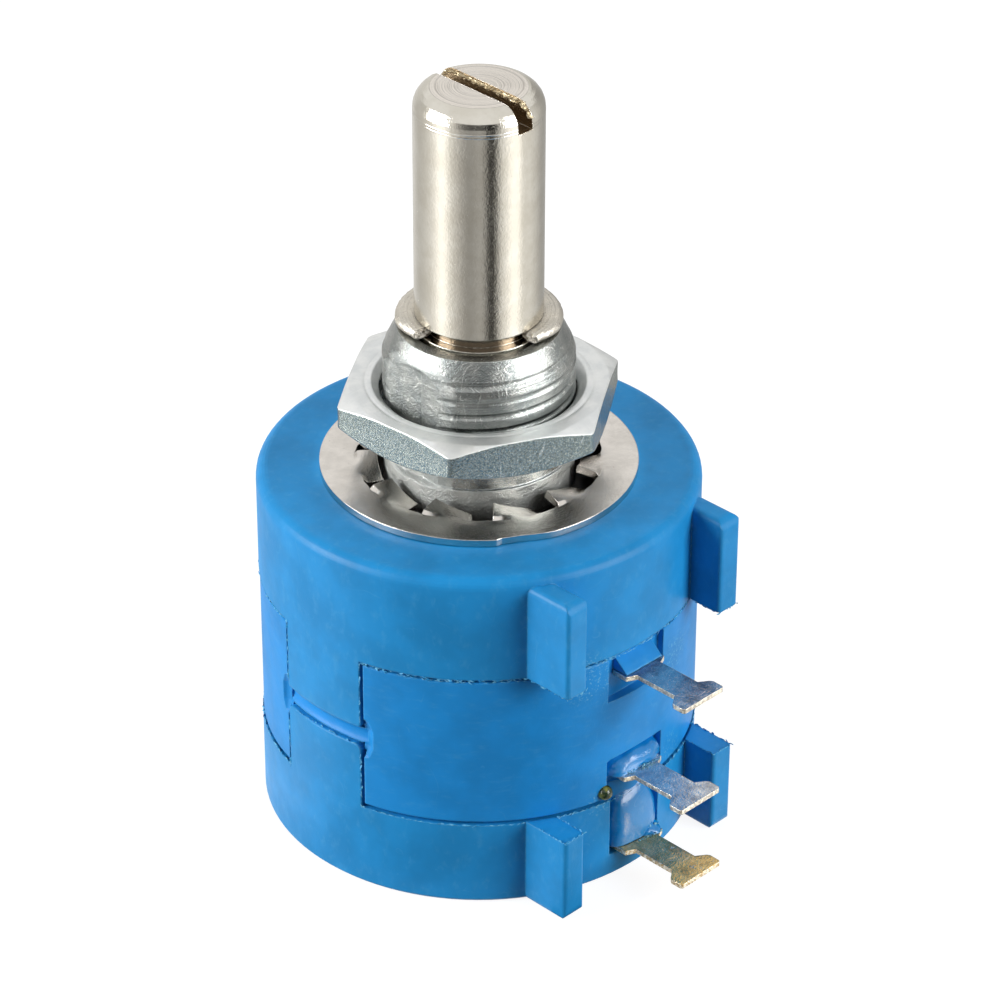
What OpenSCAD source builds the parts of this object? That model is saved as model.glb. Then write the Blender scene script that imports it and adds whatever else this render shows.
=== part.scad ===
// Ten-turn wirewound potentiometer with a threaded bushing and side terminals.
// The origin is the centre of the mounting face, on the shaft's axis. +Z runs up the shaft,
// and the terminals leave the housing towards -Y. All sizes are in millimetres.

/* [Housing] */
// Outer diameter of the housing
body_d = 22.22; // [21.6:0.02:27]
// Length of the housing behind the mounting face
body_len = 19.05; // [18.8:0.05:24]
// Length of the front cover's skirt, from the mounting face
front_skirt = 5.7; // [5.2:0.05:5.85]
// Height of the rear cover's skirt, from the rear face
rear_skirt = 4.7; // [4.2:0.05:4.9]
// Distance from the mounting face to the middle of the joint between the covers' tongues
tongue_joint = 10.2; // [9.4:0.1:11]
// Width of each tongue
tongue_w = 5.1; // [4:0.02:6.6]
// Space between the ends of the tongues, filled by a rib of the coil housing
joint_gap = 0.9; // [0.6:0.05:1.2]
// Wall of the covers' skirts and tongues
skirt_wall = 1.1; // [0.9:0.05:1.3]
// Wall of the coil housing
coil_wall = 1.2; // [1:0.05:1.35]
// Thickness of the front cover's face
face_t = 1.6; // [1.4:0.05:1.8]
// Thickness of the rear cover's floor
floor_t = 1.5; // [1.3:0.05:1.7]
// Rounding of the front edge
edge_r = 0.6; // [0.2:0.05:0.9]
// Rounding of the mouldings' small edges
edge_break = 0.12; // [0.06:0.01:0.2]
// Chamfer of the rear edge
rear_chamfer = 0.2; // [0.05:0.05:0.4]
// Open seam between the mouldings
seam = 0.18; // [0.1:0.02:0.26]
// Depth of the panels below the covers' surface
panel_step = 0.05; // [0.02:0.01:0.15]
// Depth of the ribs between the tongues below the covers' surface
rib_step = 0.26; // [0.15:0.01:0.4]
// Radius of the trough along each rib
trough_r = 0.6; // [0.5:0.05:0.8]

/* [Fins] */
// Clear width between the fins that flank the terminals
fin_gap = 9.4; // [8:0.1:10.5]
// Thickness of a fin
fin_t = 1.35; // [1:0.05:1.6]
// Height of the fins' ends above the housing's surface
fin_reach = 0.95; // [0.6:0.05:1.6]
// Distance from the mounting face to the front fins
front_fin_set = 0.5; // [0.3:0.05:1]
// Length of the front fins past the end of the front skirt
front_fin_over = 0; // [0:0.05:0.7]
// Height of the rear fins past the edge of the rear skirt
rear_fin_over = 0.1; // [0.05:0.05:0.3]
// Rounding of the fins' outer corners at the housing's ends
fin_r = 0.6; // [0.2:0.05:0.8]
// Rounding of the fins' side corners at the housing's ends
fin_side_r = 0.35; // [0.1:0.05:0.45]
// Rounding of the fins' long edges
fin_edge_r = 0.2; // [0.1:0.02:0.4]

/* [Terminals] */
// Distance from the mounting face to the upper terminal
term_ccw = 7; // [6.9:0.05:7.4]
// Distance from the mounting face to the middle terminal
term_cw = 13; // [12.4:0.05:13.1]
// Thickness of the blades
blade_t = 0.25; // [0.2:0.01:0.4]
// Width of the T-shaped tips
tip_w = 2.85; // [2.2:0.05:3]
// Width of the blades' necks
neck_w = 1.65; // [1.3:0.05:2]
// Width of the blades where they leave the housing
root_w = 2.7; // [2.5:0.05:3]
// Distance from the housing's surface to the ends of the upper blades
term_reach = 4.3; // [3:0.1:5]
// How much further the lower blade reaches
wiper_reach = 0.2; // [0:0.05:0.5]
// Length of the T-shaped tips
tip_len = 1.1; // [0.8:0.05:1.4]
// Width of the notch in the rear cover round the lower terminal
notch_w = 3.5; // [3.2:0.05:3.8]
// Width of the recesses round the upper and middle terminals
recess_w = 3.9; // [3.6:0.05:4.2]
// Depth of the recess round the upper terminal
recess_d = 0.55; // [0.3:0.05:0.7]

/* [Bushing] */
// Outer diameter of the thread
thread_d = 9.525; // [9:0.005:10.2]
// Length of the bushing in front of the mounting face
bushing_len = 7.94; // [7.6:0.02:10]
// Thickness of the flange behind the face
flange_t = 1; // [0.8:0.05:1.2]
// Diameter of the bushing's top rim
rim_d = 8.14; // [8.05:0.01:8.6]
// Distance across the two parting flats
flats_w = 8.8; // [8.6:0.05:9]
// Diameter of the recess in the face round the bushing
face_recess_d = 13; // [12.9:0.05:13.4]
// Depth of that recess
face_recess_t = 0.7; // [0.5:0.05:0.8]

/* [Shaft] */
// Diameter of the shaft
shaft_d = 6.35; // [5.2:0.01:7.65]
// Length of the shaft in front of the mounting face
shaft_len = 20.62; // [18:0.02:26]
// Width of the screwdriver slot
slot_w = 0.92; // [0.8:0.02:1.4]
// Depth of the slot
slot_t = 1.3; // [0.8:0.05:1.6]
// Direction of the slot at rest
slot_angle = 89; // [0:1:180]
// Width of the bevel round the shaft's end
bevel_w = 0.95; // [0.2:0.01:1.1]
// Height of that bevel
bevel_h = 1.05; // [0.2:0.01:1.2]
// Depth of the groove for the retaining ring
groove_t = 0.47; // [0.3:0.01:0.6]
// Diameter of the shaft's tail in the rear bearing
tail_d = 3; // [2.4:0.05:3.2]

/* [Retaining ring] */
// Width of the ring's wire
ring_w = 1.38; // [1.1:0.02:1.5]
// Thickness of the ring
ring_t = 0.6; // [0.5:0.02:0.9]
// Angle left open between the ring's ends
ring_gap = 100; // [60:1:110]
// Direction of the opening at rest
ring_angle = -139; // [-180:1:180]

/* [Nut] */
// Width across the nut's flats
nut_af = 12.7; // [12.2:0.05:14]
// Thickness of the nut
nut_t = 2.05; // [1.7:0.05:2.4]
// Height of the nut above the mounting face at rest
nut_z = 2.65; // [2:0.05:2.8]
// Turn of the nut from having a corner at -Y
nut_turn = 4; // [0:1:59]

/* [Lock washer] */
// Outer diameter of the washer
washer_d = 15.88; // [15.4:0.02:16.4]
// Thickness of the washer
washer_t = 0.38; // [0.3:0.01:0.5]
// Number of teeth
tooth_n = 11; // [9:1:12]
// Twist of each tooth at its tip
tooth_twist = 20; // [10:1:24]
// Width of the notches between the teeth
notch_t = 1.05; // [0.9:0.05:1.2]
// Shift of the loose washer from the axis
washer_shift = 0.18; // [0:0.01:0.2]
// Direction of that shift
washer_angle = -135; // [-180:1:180]

/* [Element] */
// Turns of the element between its two terminals
turns = 10; // [10:1:10]
// Diameter of the wound core
core_d = 0.4; // [0.36:0.01:0.44]
// Rings of the swept core in one turn
core_steps = 30; // [24:1:36]

/* [Rotor] */
// Distance from the rotor's surface to the element
rotor_gap = 2; // [1.9:0.05:2.3]
// Wall between the rotor's seat and the carriage's channel
hub_wall = 1.3; // [1:0.05:1.5]
// Diameter of the rotor's seat on the shaft, below the shaft's own
seat_step = 1.55; // [1.4:0.05:1.8]
// Height of the carriage
carriage_h = 2.5; // [2.2:0.05:2.6]
// Width of the carriage's foot in the channel
foot_w = 4.6; // [4.2:0.05:4.8]
// Width of the carriage between the channel's lips
stem_w = 3.2; // [2.8:0.05:3.4]

/* [Fits] */
// Radial clearance of the shaft in its bearings
bearing_gap = 0.04; // [0.02:0.005:0.08]
// Radial clearance of the nut on the thread
nut_gap = 0.05; // [0.03:0.005:0.09]
// Clearance between pieces that are assembled and stay put
fit = 0.02; // [0.01:0.005:0.04]
// Clearance of the carriage in its channel
slide_gap = 0.08; // [0.05:0.01:0.1]
// Clearance between a sliding contact and its track
contact_gap = 0.05; // [0.04:0.005:0.08]

/* [Hidden] */
$fn = 96;

// Radii
body_r = body_d / 2;
skirt_in = body_r - skirt_wall;
housing_r = skirt_in - 2 * fit;
bore_r = housing_r - coil_wall;
panel_r = body_r - panel_step;
core_r = core_d / 2;
helix_r = bore_r - 2 * fit - core_r;
track_r = helix_r - core_r;
rotor_r = track_r - rotor_gap;
thread_r = thread_d / 2;
shaft_r = shaft_d / 2;
tail_r = tail_d / 2;
seat_r = (shaft_d - seat_step) / 2;
groove_r = shaft_r - groove_t;
flange_lap = 0.4;
flange_r = bore_r + flange_lap;
washer_r = washer_d / 2;
tooth_tip_r = thread_r + 0.29;
tooth_root_r = tooth_tip_r + 1.1;

// Heights, measured down from the mounting face
stack_z = face_t + flange_t;
housing_top = stack_z + fit;
floor_z = body_len - floor_t;
housing_low = floor_z - fit;
panel_top = front_skirt + seam;
skirt_edge = body_len - rear_skirt;
panel_low = skirt_edge - seam;
tongue_half = tongue_w / 2;
bay_half = tongue_half + seam;
thrust_t = 0.35;
shoulder_z = stack_z + thrust_t + 0.05;
rotor_top = shoulder_z + 0.9;
brush_room = 1.95;
rotor_low = floor_z - brush_room;
slip_t = 0.25;
seat_low = rotor_low + slip_t + 0.3;
bearing_top = floor_z - 0.85;
bearing_low = body_len - 0.95;
tail_low = bearing_low - 0.1;

// The element and the carriage that follows it
travel = term_cw - term_ccw;
pitch = travel / turns;
mid_z = (term_ccw + term_cw) / 2;
channel_half = travel / 2 + carriage_h / 2 + 0.1;
floor_y = seat_r + hub_wall;
foot_h = 0.9;
strip_w = 1;
strip_t = 0.25;
strip_top = floor_y + fit + strip_t;
head_y = rotor_r + 0.3;
head_t = 0.7;
face_y = head_y + head_t;

// The lower terminal lies on the rear cover's floor
term_wiper = floor_z - blade_t / 2 - fit;
slot_clear = 0.03;
blade_in_w = root_w - 0.2;

function arc(c, r, a0, a1, n = 6) =
    [for (i = [0:n]) let (a = a0 + (a1 - a0) * i / n) [c[0] + r * cos(a), c[1] + r * sin(a)]];

function reversed(v) = [for (i = [len(v) - 1:-1:0]) v[i]];

function unit(v) = v / norm(v);

// Direction of a line of points at point i
function heading(p, i) = unit(p[min(i + 1, len(p) - 1)] - p[max(i - 1, 0)]);

// Outline of a strip of thickness t whose middle follows the points p
function strip_outline(p, t) = concat(
    [for (i = [0:len(p) - 1]) let (h = heading(p, i)) p[i] + t / 2 * [-h[1], h[0]]],
    reversed([for (i = [0:len(p) - 1]) let (h = heading(p, i)) p[i] - t / 2 * [-h[1], h[0]]])
);

// A plate across X whose outline is given in Y and Z
module across_x(width, outline) {
    translate([-width / 2, 0, 0])
        rotate([90, 0, 90])
            linear_extrude(width)
                polygon(outline);
}

module tube(r0, r1, z0, z1) {
    translate([0, 0, z0])
        difference() {
            cylinder(r = r1, h = z1 - z0);
            translate([0, 0, -1])
                cylinder(r = r0, h = z1 - z0 + 2);
        }
}

// Two plates that flank the terminals, from the parting edge at height z0 to the end at z1,
// sharp at the parting edge and rounded elsewhere
module fin_pair(z0, z1) {
    h = abs(z1 - z0);
    half = fin_t / 2;
    y_out = body_r + fin_reach;
    y_in = skirt_in - 0.8;
    side = concat([[-y_in, h], [-y_in, 0], [-y_out, 0]],
                  arc([-y_out + fin_r, h - fin_r], fin_r, 180, 90));
    c = fin_side_r;
    e = fin_edge_r;
    front = concat([[half, 0]], arc([half - c, h - c], c, 0, 90, 4),
                   arc([-half + c, h - c], c, 90, 180, 4), [[-half, 0]]);
    plan = concat([[half, -y_in], [-half, -y_in]], arc([-half + e, -y_out + e], e, 180, 270, 3),
                  arc([half - e, -y_out + e], e, 270, 360, 3));
    for (s = [-1, 1])
        translate([s * (fin_gap + fin_t) / 2, 0, z0])
            rotate([0, z1 < z0 ? 180 : 0, 0])
                intersection() {
                    across_x(fin_t, side);
                    rotate([90, 0, 0])
                        linear_extrude(y_out + 1)
                            polygon(front);
                    linear_extrude(h)
                        polygon(plan);
                }
}

// The room that the fins leave round the panel, between heights z0 and z1
module panel_relief(z0, z1) {
    translate([0, 0, z0])
        difference() {
            cylinder(r = body_r, h = z1 - z0);
            for (a = [0, 180])
                rotate([0, 0, a])
                    translate([body_r / 2, -body_r / 2, -1])
                        cube([body_r, body_r, z1 - z0 + 2]);
        }
}

// A tongue on each side, at -X and +X, from its root at height z0 to its free end at z1,
// whose outer edge is rounded by end_r
module tongues(z0, z1, end_r) {
    h = abs(z1 - z0);
    c = 0.35;
    section = concat([[skirt_in - 0.5, h], [skirt_in - 0.5, 0], [body_r, 0]],
                     arc([body_r - end_r, h - end_r], end_r, 0, 90, 4));
    face = concat([[-tongue_half, 0]], arc([-tongue_half + c, h - c], c, 180, 90),
                  arc([tongue_half - c, h - c], c, 90, 0), [[tongue_half, 0]]);
    translate([0, 0, z0])
        rotate([0, z1 < z0 ? 180 : 0, 0])
            intersection() {
                rotate_extrude()
                    polygon(section);
                across_x(body_d + 2, face);
            }
}

// Outline of the flange: a round plate with two flats that stop it turning
module flange_plate(grow, h) {
    intersection() {
        cylinder(r = flange_r + grow, h = h);
        translate([-body_r, -(flange_r - 0.9 + grow), 0])
            cube([body_d, 2 * (flange_r - 0.9 + grow), h]);
    }
}

module front_cover() {
    outline = concat(
        [[0, -front_skirt], [0, 0]],
        reversed(arc([body_r - edge_r, -edge_r], edge_r, 0, 90)),
        [[body_r, -front_skirt]]
    );
    color("steelblue")
        difference() {
            union() {
                rotate_extrude()
                    polygon(outline);
                tongues(-front_skirt + 0.5, -tongue_joint + joint_gap / 2, 0.3);
                fin_pair(-front_skirt - front_fin_over, -front_fin_set);
            }
            // the room for the coil housing
            translate([0, 0, -body_len])
                cylinder(r = skirt_in, h = body_len - stack_z);
            panel_relief(-front_skirt - front_fin_over - 1, -front_skirt);
            // the bushing and its flange
            translate([0, 0, -body_len])
                cylinder(r = thread_r + 2 * fit, h = body_len + 1);
            translate([0, 0, -stack_z - 1])
                flange_plate(fit, flange_t + 1);
            // the recess round the bushing
            translate([0, 0, -face_recess_t])
                cylinder(d = face_recess_d, h = 1);
        }
}

module rear_cover() {
    outline = [
        [0, -body_len], [body_r - rear_chamfer, -body_len], [body_r, -body_len + rear_chamfer],
        [body_r, -skirt_edge], [0, -skirt_edge]
    ];
    gate_r = 1.2;
    gate_t = 0.25;
    notch_low = term_wiper + blade_t / 2 + 0.15;
    color("steelblue")
        difference() {
            union() {
                difference() {
                    union() {
                        rotate_extrude()
                            polygon(outline);
                        tongues(-skirt_edge - 0.5, -tongue_joint - joint_gap / 2, 0.12);
                        fin_pair(-skirt_edge + rear_fin_over, -body_len);
                    }
                    translate([0, 0, -floor_z])
                        cylinder(r = skirt_in, h = body_len);
                    panel_relief(-skirt_edge, -skirt_edge + rear_fin_over + 1);
                }
                // the boss of the rear bearing
                translate([0, 0, -floor_z - 0.2])
                    cylinder(r = seat_r + 0.75, h = floor_z - bearing_top + 0.2);
            }
            translate([0, 0, -bearing_low - fit])
                cylinder(r = seat_r + fit, h = body_len);
            // the notch for the terminals
            translate([-notch_w / 2, -body_r - 2, -notch_low])
                cube([notch_w, body_r + 2 - skirt_in + 0.5, notch_low - skirt_edge + 1]);
            // the gate mark in the middle of the rear face
            translate([0, 0, -body_len - 1])
                cylinder(r = gate_r, h = 1 + gate_t);
        }
}

// The ramp of plastic that backs a terminal's root
module root_ramp(z) {
    half = blade_t / 2 + slot_clear;
    ramp_top = min(-z + 1.25, -front_skirt - fit);
    back_y = -(panel_r - recess_d - 0.4);
    across_x(blade_in_w, [
        [back_y, ramp_top],
        [-(panel_r + 0.05), -z + half + 0.3],
        [-(panel_r + 0.4), -z + half],
        [back_y, -z + half]
    ]);
}

module blade_slot(z) {
    half = blade_t / 2 + slot_clear;
    translate([-blade_in_w / 2 - slot_clear, -body_r - 1, -z - half])
        cube([blade_in_w + 2 * slot_clear, body_r + 1 - bore_r + 0.5, 2 * half]);
}

// The two panels that show between the skirts, with a bay on each side for the tongues
module panels() {
    c = edge_break / 2;
    difference() {
        rotate_extrude()
            polygon([
                [housing_r - 0.3, -panel_low], [panel_r - c, -panel_low],
                [panel_r, -panel_low + c], [panel_r, -panel_top - c],
                [panel_r - c, -panel_top], [housing_r - 0.3, -panel_top]
            ]);
        translate([-body_r, -bay_half, -body_len])
            cube([body_d, 2 * bay_half, body_len]);
    }
}

// The ribs that fill the joint between the tongues and close the seams beside it
module ribs() {
    y1 = tongue_half + fit;
    y2 = bay_half + 0.1;
    z1 = joint_gap / 2 - fit;
    z2 = 0.8;
    outline = [
        [-y2, -z2], [-y1, -z2], [-y1, -z1], [y1, -z1], [y1, -z2], [y2, -z2],
        [y2, z2], [y1, z2], [y1, z1], [-y1, z1], [-y1, z2], [-y2, z2]
    ];
    translate([0, 0, -tongue_joint])
        intersection() {
            tube(housing_r - 0.3, body_r - rib_step, -1, 1);
            across_x(body_d, outline);
        }
}

// The trough along the rib at +X, and the scoops in the panels at its ends
module trough() {
    depth = 0.18;
    scoop = 0.3;
    half = 1.4;
    scoop_r = panel_r + trough_r - scoop;
    translate([0, 0, -tongue_joint]) {
        intersection() {
            rotate_extrude()
                translate([body_r - rib_step - depth + trough_r, 0])
                    circle(r = trough_r);
            translate([0, -bay_half, -1])
                cube([body_d, 2 * bay_half, 2]);
        }
        for (e = [-1, 1])
            translate([sqrt(pow(scoop_r, 2) - pow(bay_half, 2)), e * (bay_half + 0.1), 0])
                rotate_extrude()
                    polygon([
                        [0, -half], [0.7 * trough_r, -half + 0.35], [trough_r, -half + 0.9],
                        [trough_r, half - 0.9], [0.7 * trough_r, half - 0.35], [0, half]
                    ]);
    }
}

module coil_housing() {
    cove_r = 1.4;
    cove_y = panel_r + 0.7;
    pad_r = 2.6;
    pad_y = panel_r - 0.15 - pad_r;
    pad_low = term_wiper - 0.5;
    arch_r = 1.5;
    recess_low = term_ccw + 1.4;
    color("royalblue")
        difference() {
            union() {
                difference() {
                    union() {
                        tube(bore_r, housing_r, -housing_low, -housing_top);
                        panels();
                        ribs();
                    }
                    for (a = [0, 180])
                        rotate([0, 0, a])
                            trough();
                    // the recess round the upper terminal
                    translate([-recess_w / 2, -body_r - 1, -recess_low])
                        cube([recess_w, 1 + recess_d + panel_step, recess_low]);
                    // the cove round the middle terminal, open towards the notch below it
                    translate([-recess_w / 2, -cove_y, -term_cw])
                        rotate([0, 90, 0])
                            cylinder(r = cove_r, h = recess_w);
                    translate([-recess_w / 2, -body_r - 1, -panel_low - 1])
                        cube([recess_w, body_r + 1 - cove_y + cove_r,
                              panel_low + 1 - term_cw]);
                }
                root_ramp(term_ccw);
                // the pad that fills the rear cover's notch
                intersection() {
                    translate([0, -pad_y, -pad_low])
                        cylinder(r = pad_r, h = pad_low - term_cw - 0.6);
                    translate([-notch_w / 2 + seam, -body_r, -pad_low - 1])
                        cube([notch_w - 2 * seam, body_r - bore_r - 0.3, pad_low]);
                }
            }
            // the arch over the lower terminal
            translate([0, -body_r - 1, -term_wiper - 0.45])
                rotate([-90, 0, 0])
                    cylinder(r = arch_r, h = body_r + 1 - housing_r + 0.3, $fn = 48);
            blade_slot(term_ccw);
            blade_slot(term_cw);
            // the slot that the lower terminal drops into
            translate([-blade_in_w / 2 - slot_clear, -body_r, -housing_low - 1])
                cube([blade_in_w + 2 * slot_clear, body_r - bore_r + 0.5,
                      1 + housing_low - term_wiper + blade_t / 2 + slot_clear]);
            // the bore stays clear
            translate([0, 0, -body_len])
                cylinder(r = bore_r, h = body_len);
        }
}

module bushing() {
    lead = min(0.25, (rim_d / 2 - shaft_r - bearing_gap) / 2);
    outline = [
        [shaft_r + bearing_gap, -stack_z],
        [thread_r - 0.2, -stack_z],
        [thread_r, -stack_z + 0.2],
        [thread_r, bushing_len - 1.5],
        [thread_r - 0.12, bushing_len - 1.2],
        [thread_r - 0.33, bushing_len - 0.75],
        [rim_d / 2, bushing_len],
        [shaft_r + bearing_gap + lead, bushing_len],
        [shaft_r + bearing_gap, bushing_len - lead]
    ];
    color("silver")
        difference() {
            union() {
                rotate_extrude()
                    polygon(outline);
                translate([0, 0, -stack_z])
                    difference() {
                        flange_plate(0, flange_t);
                        translate([0, 0, -1])
                            cylinder(r = thread_r - 0.5, h = flange_t + 2);
                    }
            }
            for (s = [-1, 1])
                translate([s * (flats_w / 2 + 2), 0, bushing_len / 2])
                    cube([4, 10, bushing_len - 1.9], center = true);
        }
}

module shaft() {
    bevel = [for (i = [0:6]) let (a = 15 * i)
        [shaft_r - bevel_w * (1 - sin(a)), shaft_len - bevel_h * (1 - cos(a))]];
    ring_top = bushing_len + ring_t + 2 * fit;
    outline = concat(
        [[0, shaft_len]],
        bevel,
        [
            [shaft_r, ring_top], [groove_r, ring_top], [groove_r, bushing_len],
            [shaft_r, bushing_len], [shaft_r, -shoulder_z], [seat_r, -shoulder_z],
            [seat_r, -seat_low], [tail_r, -seat_low], [tail_r, -tail_low], [0, -tail_low]
        ]
    );
    color("lightgray")
        difference() {
            rotate_extrude()
                polygon(outline);
            rotate([0, 0, slot_angle])
                translate([-shaft_d, -slot_w / 2, shaft_len - slot_t])
                    cube([2 * shaft_d, slot_w, slot_t + 1]);
        }
}

module retaining_ring() {
    r0 = groove_r + fit;
    c = 0.22;
    z0 = bushing_len + fit;
    z1 = z0 + ring_t;
    r1 = r0 + ring_w - c;
    outline = concat(
        arc([r0 + c, z0 + c], c, 180, 270, 4),
        arc([r1, z0 + c], c, 270, 360, 4),
        arc([r1, z1 - c], c, 0, 90, 4),
        arc([r0 + c, z1 - c], c, 90, 180, 4)
    );
    color("gainsboro")
        rotate([0, 0, ring_angle + ring_gap / 2])
            rotate_extrude(angle = 360 - ring_gap)
                polygon(outline);
}

module mounting_nut() {
    corner_r = nut_af / 2 / cos(30);
    top_r = nut_af / 2 + 0.7;
    low_r = nut_af / 2 - 0.2;
    slope = tan(30);
    sink = 0.5;
    bore = thread_r + nut_gap;
    outline = [
        [bore + sink, 0],
        [low_r, 0],
        [corner_r + 0.1, (corner_r + 0.1 - low_r) * slope],
        [corner_r + 0.1, nut_t - (corner_r + 0.1 - top_r) * slope],
        [top_r, nut_t],
        [bore + sink, nut_t],
        [bore, nut_t - sink],
        [bore, sink]
    ];
    color("silver")
        translate([0, 0, nut_z])
            intersection() {
                rotate_extrude()
                    polygon(outline);
                rotate([0, 0, -90 + nut_turn])
                    translate([0, 0, -1])
                        cylinder(r = corner_r, h = nut_t + 2, $fn = 6);
            }
}

// One tooth, twisted evenly from the rim to its tip
module washer_tooth() {
    root = tooth_root_r + 0.05;
    len = root - tooth_tip_r;
    w0 = 2 * PI * root / tooth_n - notch_t;
    w1 = 2 * PI * tooth_tip_r / tooth_n - notch_t + 0.1;
    translate([root, 0, washer_t / 2])
        rotate([0, -90, 0])
            linear_extrude(len, twist = -tooth_twist, slices = 4, scale = [1, w1 / w0], $fn = 4)
                square([washer_t * 0.98, w0], center = true);
}

module lock_washer() {
    color("lightgray")
        translate([washer_shift * cos(washer_angle), washer_shift * sin(washer_angle), 0]) {
            tube(tooth_root_r, washer_r, 0, washer_t);
            for (i = [0:tooth_n - 1])
                rotate([0, 0, washer_angle + 360 * (i + 0.54) / tooth_n])
                    washer_tooth();
        }
}

// A stamped blade in plan, from the inner end at distance y_in to the T-shaped tip
module blade(y_in, extra, z) {
    tip = body_r + term_reach + extra;
    neck_end = tip - tip_len;
    neck_start = body_r + 0.65 + extra;
    side = [
        [blade_in_w / 2, y_in],
        [blade_in_w / 2, panel_r - recess_d],
        [root_w / 2, panel_r - recess_d + 0.1],
        [root_w / 2, neck_start - 0.25],
        [neck_w / 2, neck_start],
        [neck_w / 2, neck_end - 0.1],
        [tip_w / 2 - 0.1, neck_end + 0.25],
        [tip_w / 2, neck_end + 0.4],
        [tip_w / 2, tip - 0.1],
        [tip_w / 2 - 0.1, tip]
    ];
    translate([0, 0, -z - blade_t / 2])
        linear_extrude(blade_t)
            polygon(concat(
                [for (p = side) [p[0], -p[1]]],
                reversed([for (p = side) [-p[0], -p[1]]])
            ));
}

module terminal_ccw() {
    color("silver")
        blade(helix_r + core_r + fit, 0, term_ccw);
}

module terminal_cw() {
    color("silver")
        blade(helix_r + core_r + fit, 0, term_cw);
}

module terminal_wiper() {
    color("goldenrod")
        blade(seat_r + 2.9, wiper_reach, term_wiper);
}

// The wound core: a round bar swept along a right-hand helix, ten turns from terminal to terminal
module resistance_element() {
    sides = 8;
    n = turns * core_steps;
    points = [for (i = [0:n], k = [0:sides - 1])
        let (a = -90 - 360 * turns * i / n,
             z = -term_ccw - travel * i / n,
             b = 360 * (k + 0.5) / sides,
             r = helix_r + core_r * cos(b))
        [r * cos(a), r * sin(a), z + core_r * sin(b)]];
    wall = [for (i = [0:n - 1], k = [0:sides - 1])
        let (m = (k + 1) % sides)
        [i * sides + k, (i + 1) * sides + k, (i + 1) * sides + m, i * sides + m]];
    ends = [
        [for (k = [0:sides - 1]) k],
        [for (k = [sides - 1:-1:0]) n * sides + k]
    ];
    color("peru")
        polyhedron(points, concat(wall, ends));
}

module rotor() {
    lip_y = floor_y + foot_h + 2 * slide_gap;
    color("dimgray")
        difference() {
            union() {
                translate([0, 0, -rotor_low])
                    cylinder(r = rotor_r, h = rotor_low - rotor_top);
                translate([0, 0, -rotor_top - 0.1])
                    cylinder(r = shaft_r + 1.1, h = rotor_top - shoulder_z - fit + 0.1);
            }
            translate([0, 0, -rotor_low - 1])
                cylinder(r = seat_r + fit, h = rotor_low);
            // the channel: a wide floor for the carriage's foot under two lips
            translate([-foot_w / 2 - slide_gap, -lip_y, -mid_z - channel_half])
                cube([foot_w + 2 * slide_gap, lip_y - floor_y, 2 * channel_half]);
            translate([-stem_w / 2 - slide_gap, -rotor_r - 1, -mid_z - channel_half])
                cube([stem_w + 2 * slide_gap, rotor_r + 1 - floor_y - 0.1, 2 * channel_half]);
            // the slot that leads the strip to the slip ring
            translate([-strip_w / 2 - fit, -strip_top - fit, -rotor_low - 1])
                cube([strip_w + 2 * fit, strip_top + fit - floor_y,
                      rotor_low + 1 - mid_z - channel_half + 0.1]);
        }
}

module collector_strip() {
    color("gold")
        translate([-strip_w / 2, -strip_top, -rotor_low])
            cube([strip_w, strip_t, rotor_low - mid_z + channel_half - fit]);
}

module slip_ring() {
    color("gold")
        tube(floor_y - 0.3, floor_y + 1.9, -rotor_low - fit - slip_t, -rotor_low - fit);
}

module wiper_carriage() {
    foot_y = floor_y + slide_gap;
    groove_w = strip_w + 0.5;
    valley = pitch / 2;
    tip = track_r + 0.06;
    fork = [
        [-face_y + 0.05, valley - 0.08], [-tip, valley - 0.06],
        [-tip, valley + 0.06], [-face_y + 0.05, valley + 0.6]
    ];
    color("ivory")
        translate([0, 0, -mid_z]) {
            difference() {
                union() {
                    translate([-foot_w / 2, -foot_y - foot_h, -carriage_h / 2])
                        cube([foot_w, foot_h, carriage_h]);
                    translate([-stem_w / 2, -face_y, -carriage_h / 2])
                        cube([stem_w, face_y - foot_y, carriage_h]);
                    translate([-foot_w / 2, -face_y, -carriage_h / 2])
                        cube([foot_w, head_t, carriage_h]);
                }
                translate([-groove_w / 2, -strip_top - 0.35, -carriage_h])
                    cube([groove_w, strip_top + 0.35, 2 * carriage_h]);
            }
            // the fork that straddles one turn of the element
            across_x(1, fork);
            mirror([0, 0, 1])
                across_x(1, fork);
        }
}

module element_wiper() {
    half = 1.7;
    t = 0.1;
    reach = track_r - 0.045 - contact_gap - t / 2;
    start = face_y + 0.12;
    bow = [for (i = [0:12]) let (x = half * (i / 6 - 1))
        [x, -start - (reach - start) * (1 + cos(180 * x / half)) / 2]];
    color("gold")
        translate([0, 0, -mid_z]) {
            translate([0, 0, -0.14])
                linear_extrude(0.28)
                    polygon(strip_outline(bow, t));
            for (s = [-1, 1])
                translate([s * (half + 0.1) - 0.4, -face_y - 0.18, -0.8])
                    cube([0.8, 0.16, 1.6]);
        }
}

module collector_wiper() {
    t = 0.08;
    half = carriage_h / 2 - 0.15;
    y_far = strip_top + 0.35 - t / 2;
    y_near = strip_top + contact_gap + t / 2;
    bow = [for (i = [0:12]) let (z = half * (i / 6 - 1))
        [-y_far + (y_far - y_near) * (1 + cos(180 * z / half)) / 2, -mid_z + z]];
    color("gold")
        across_x(strip_w - 0.2, strip_outline(bow, t));
}

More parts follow.
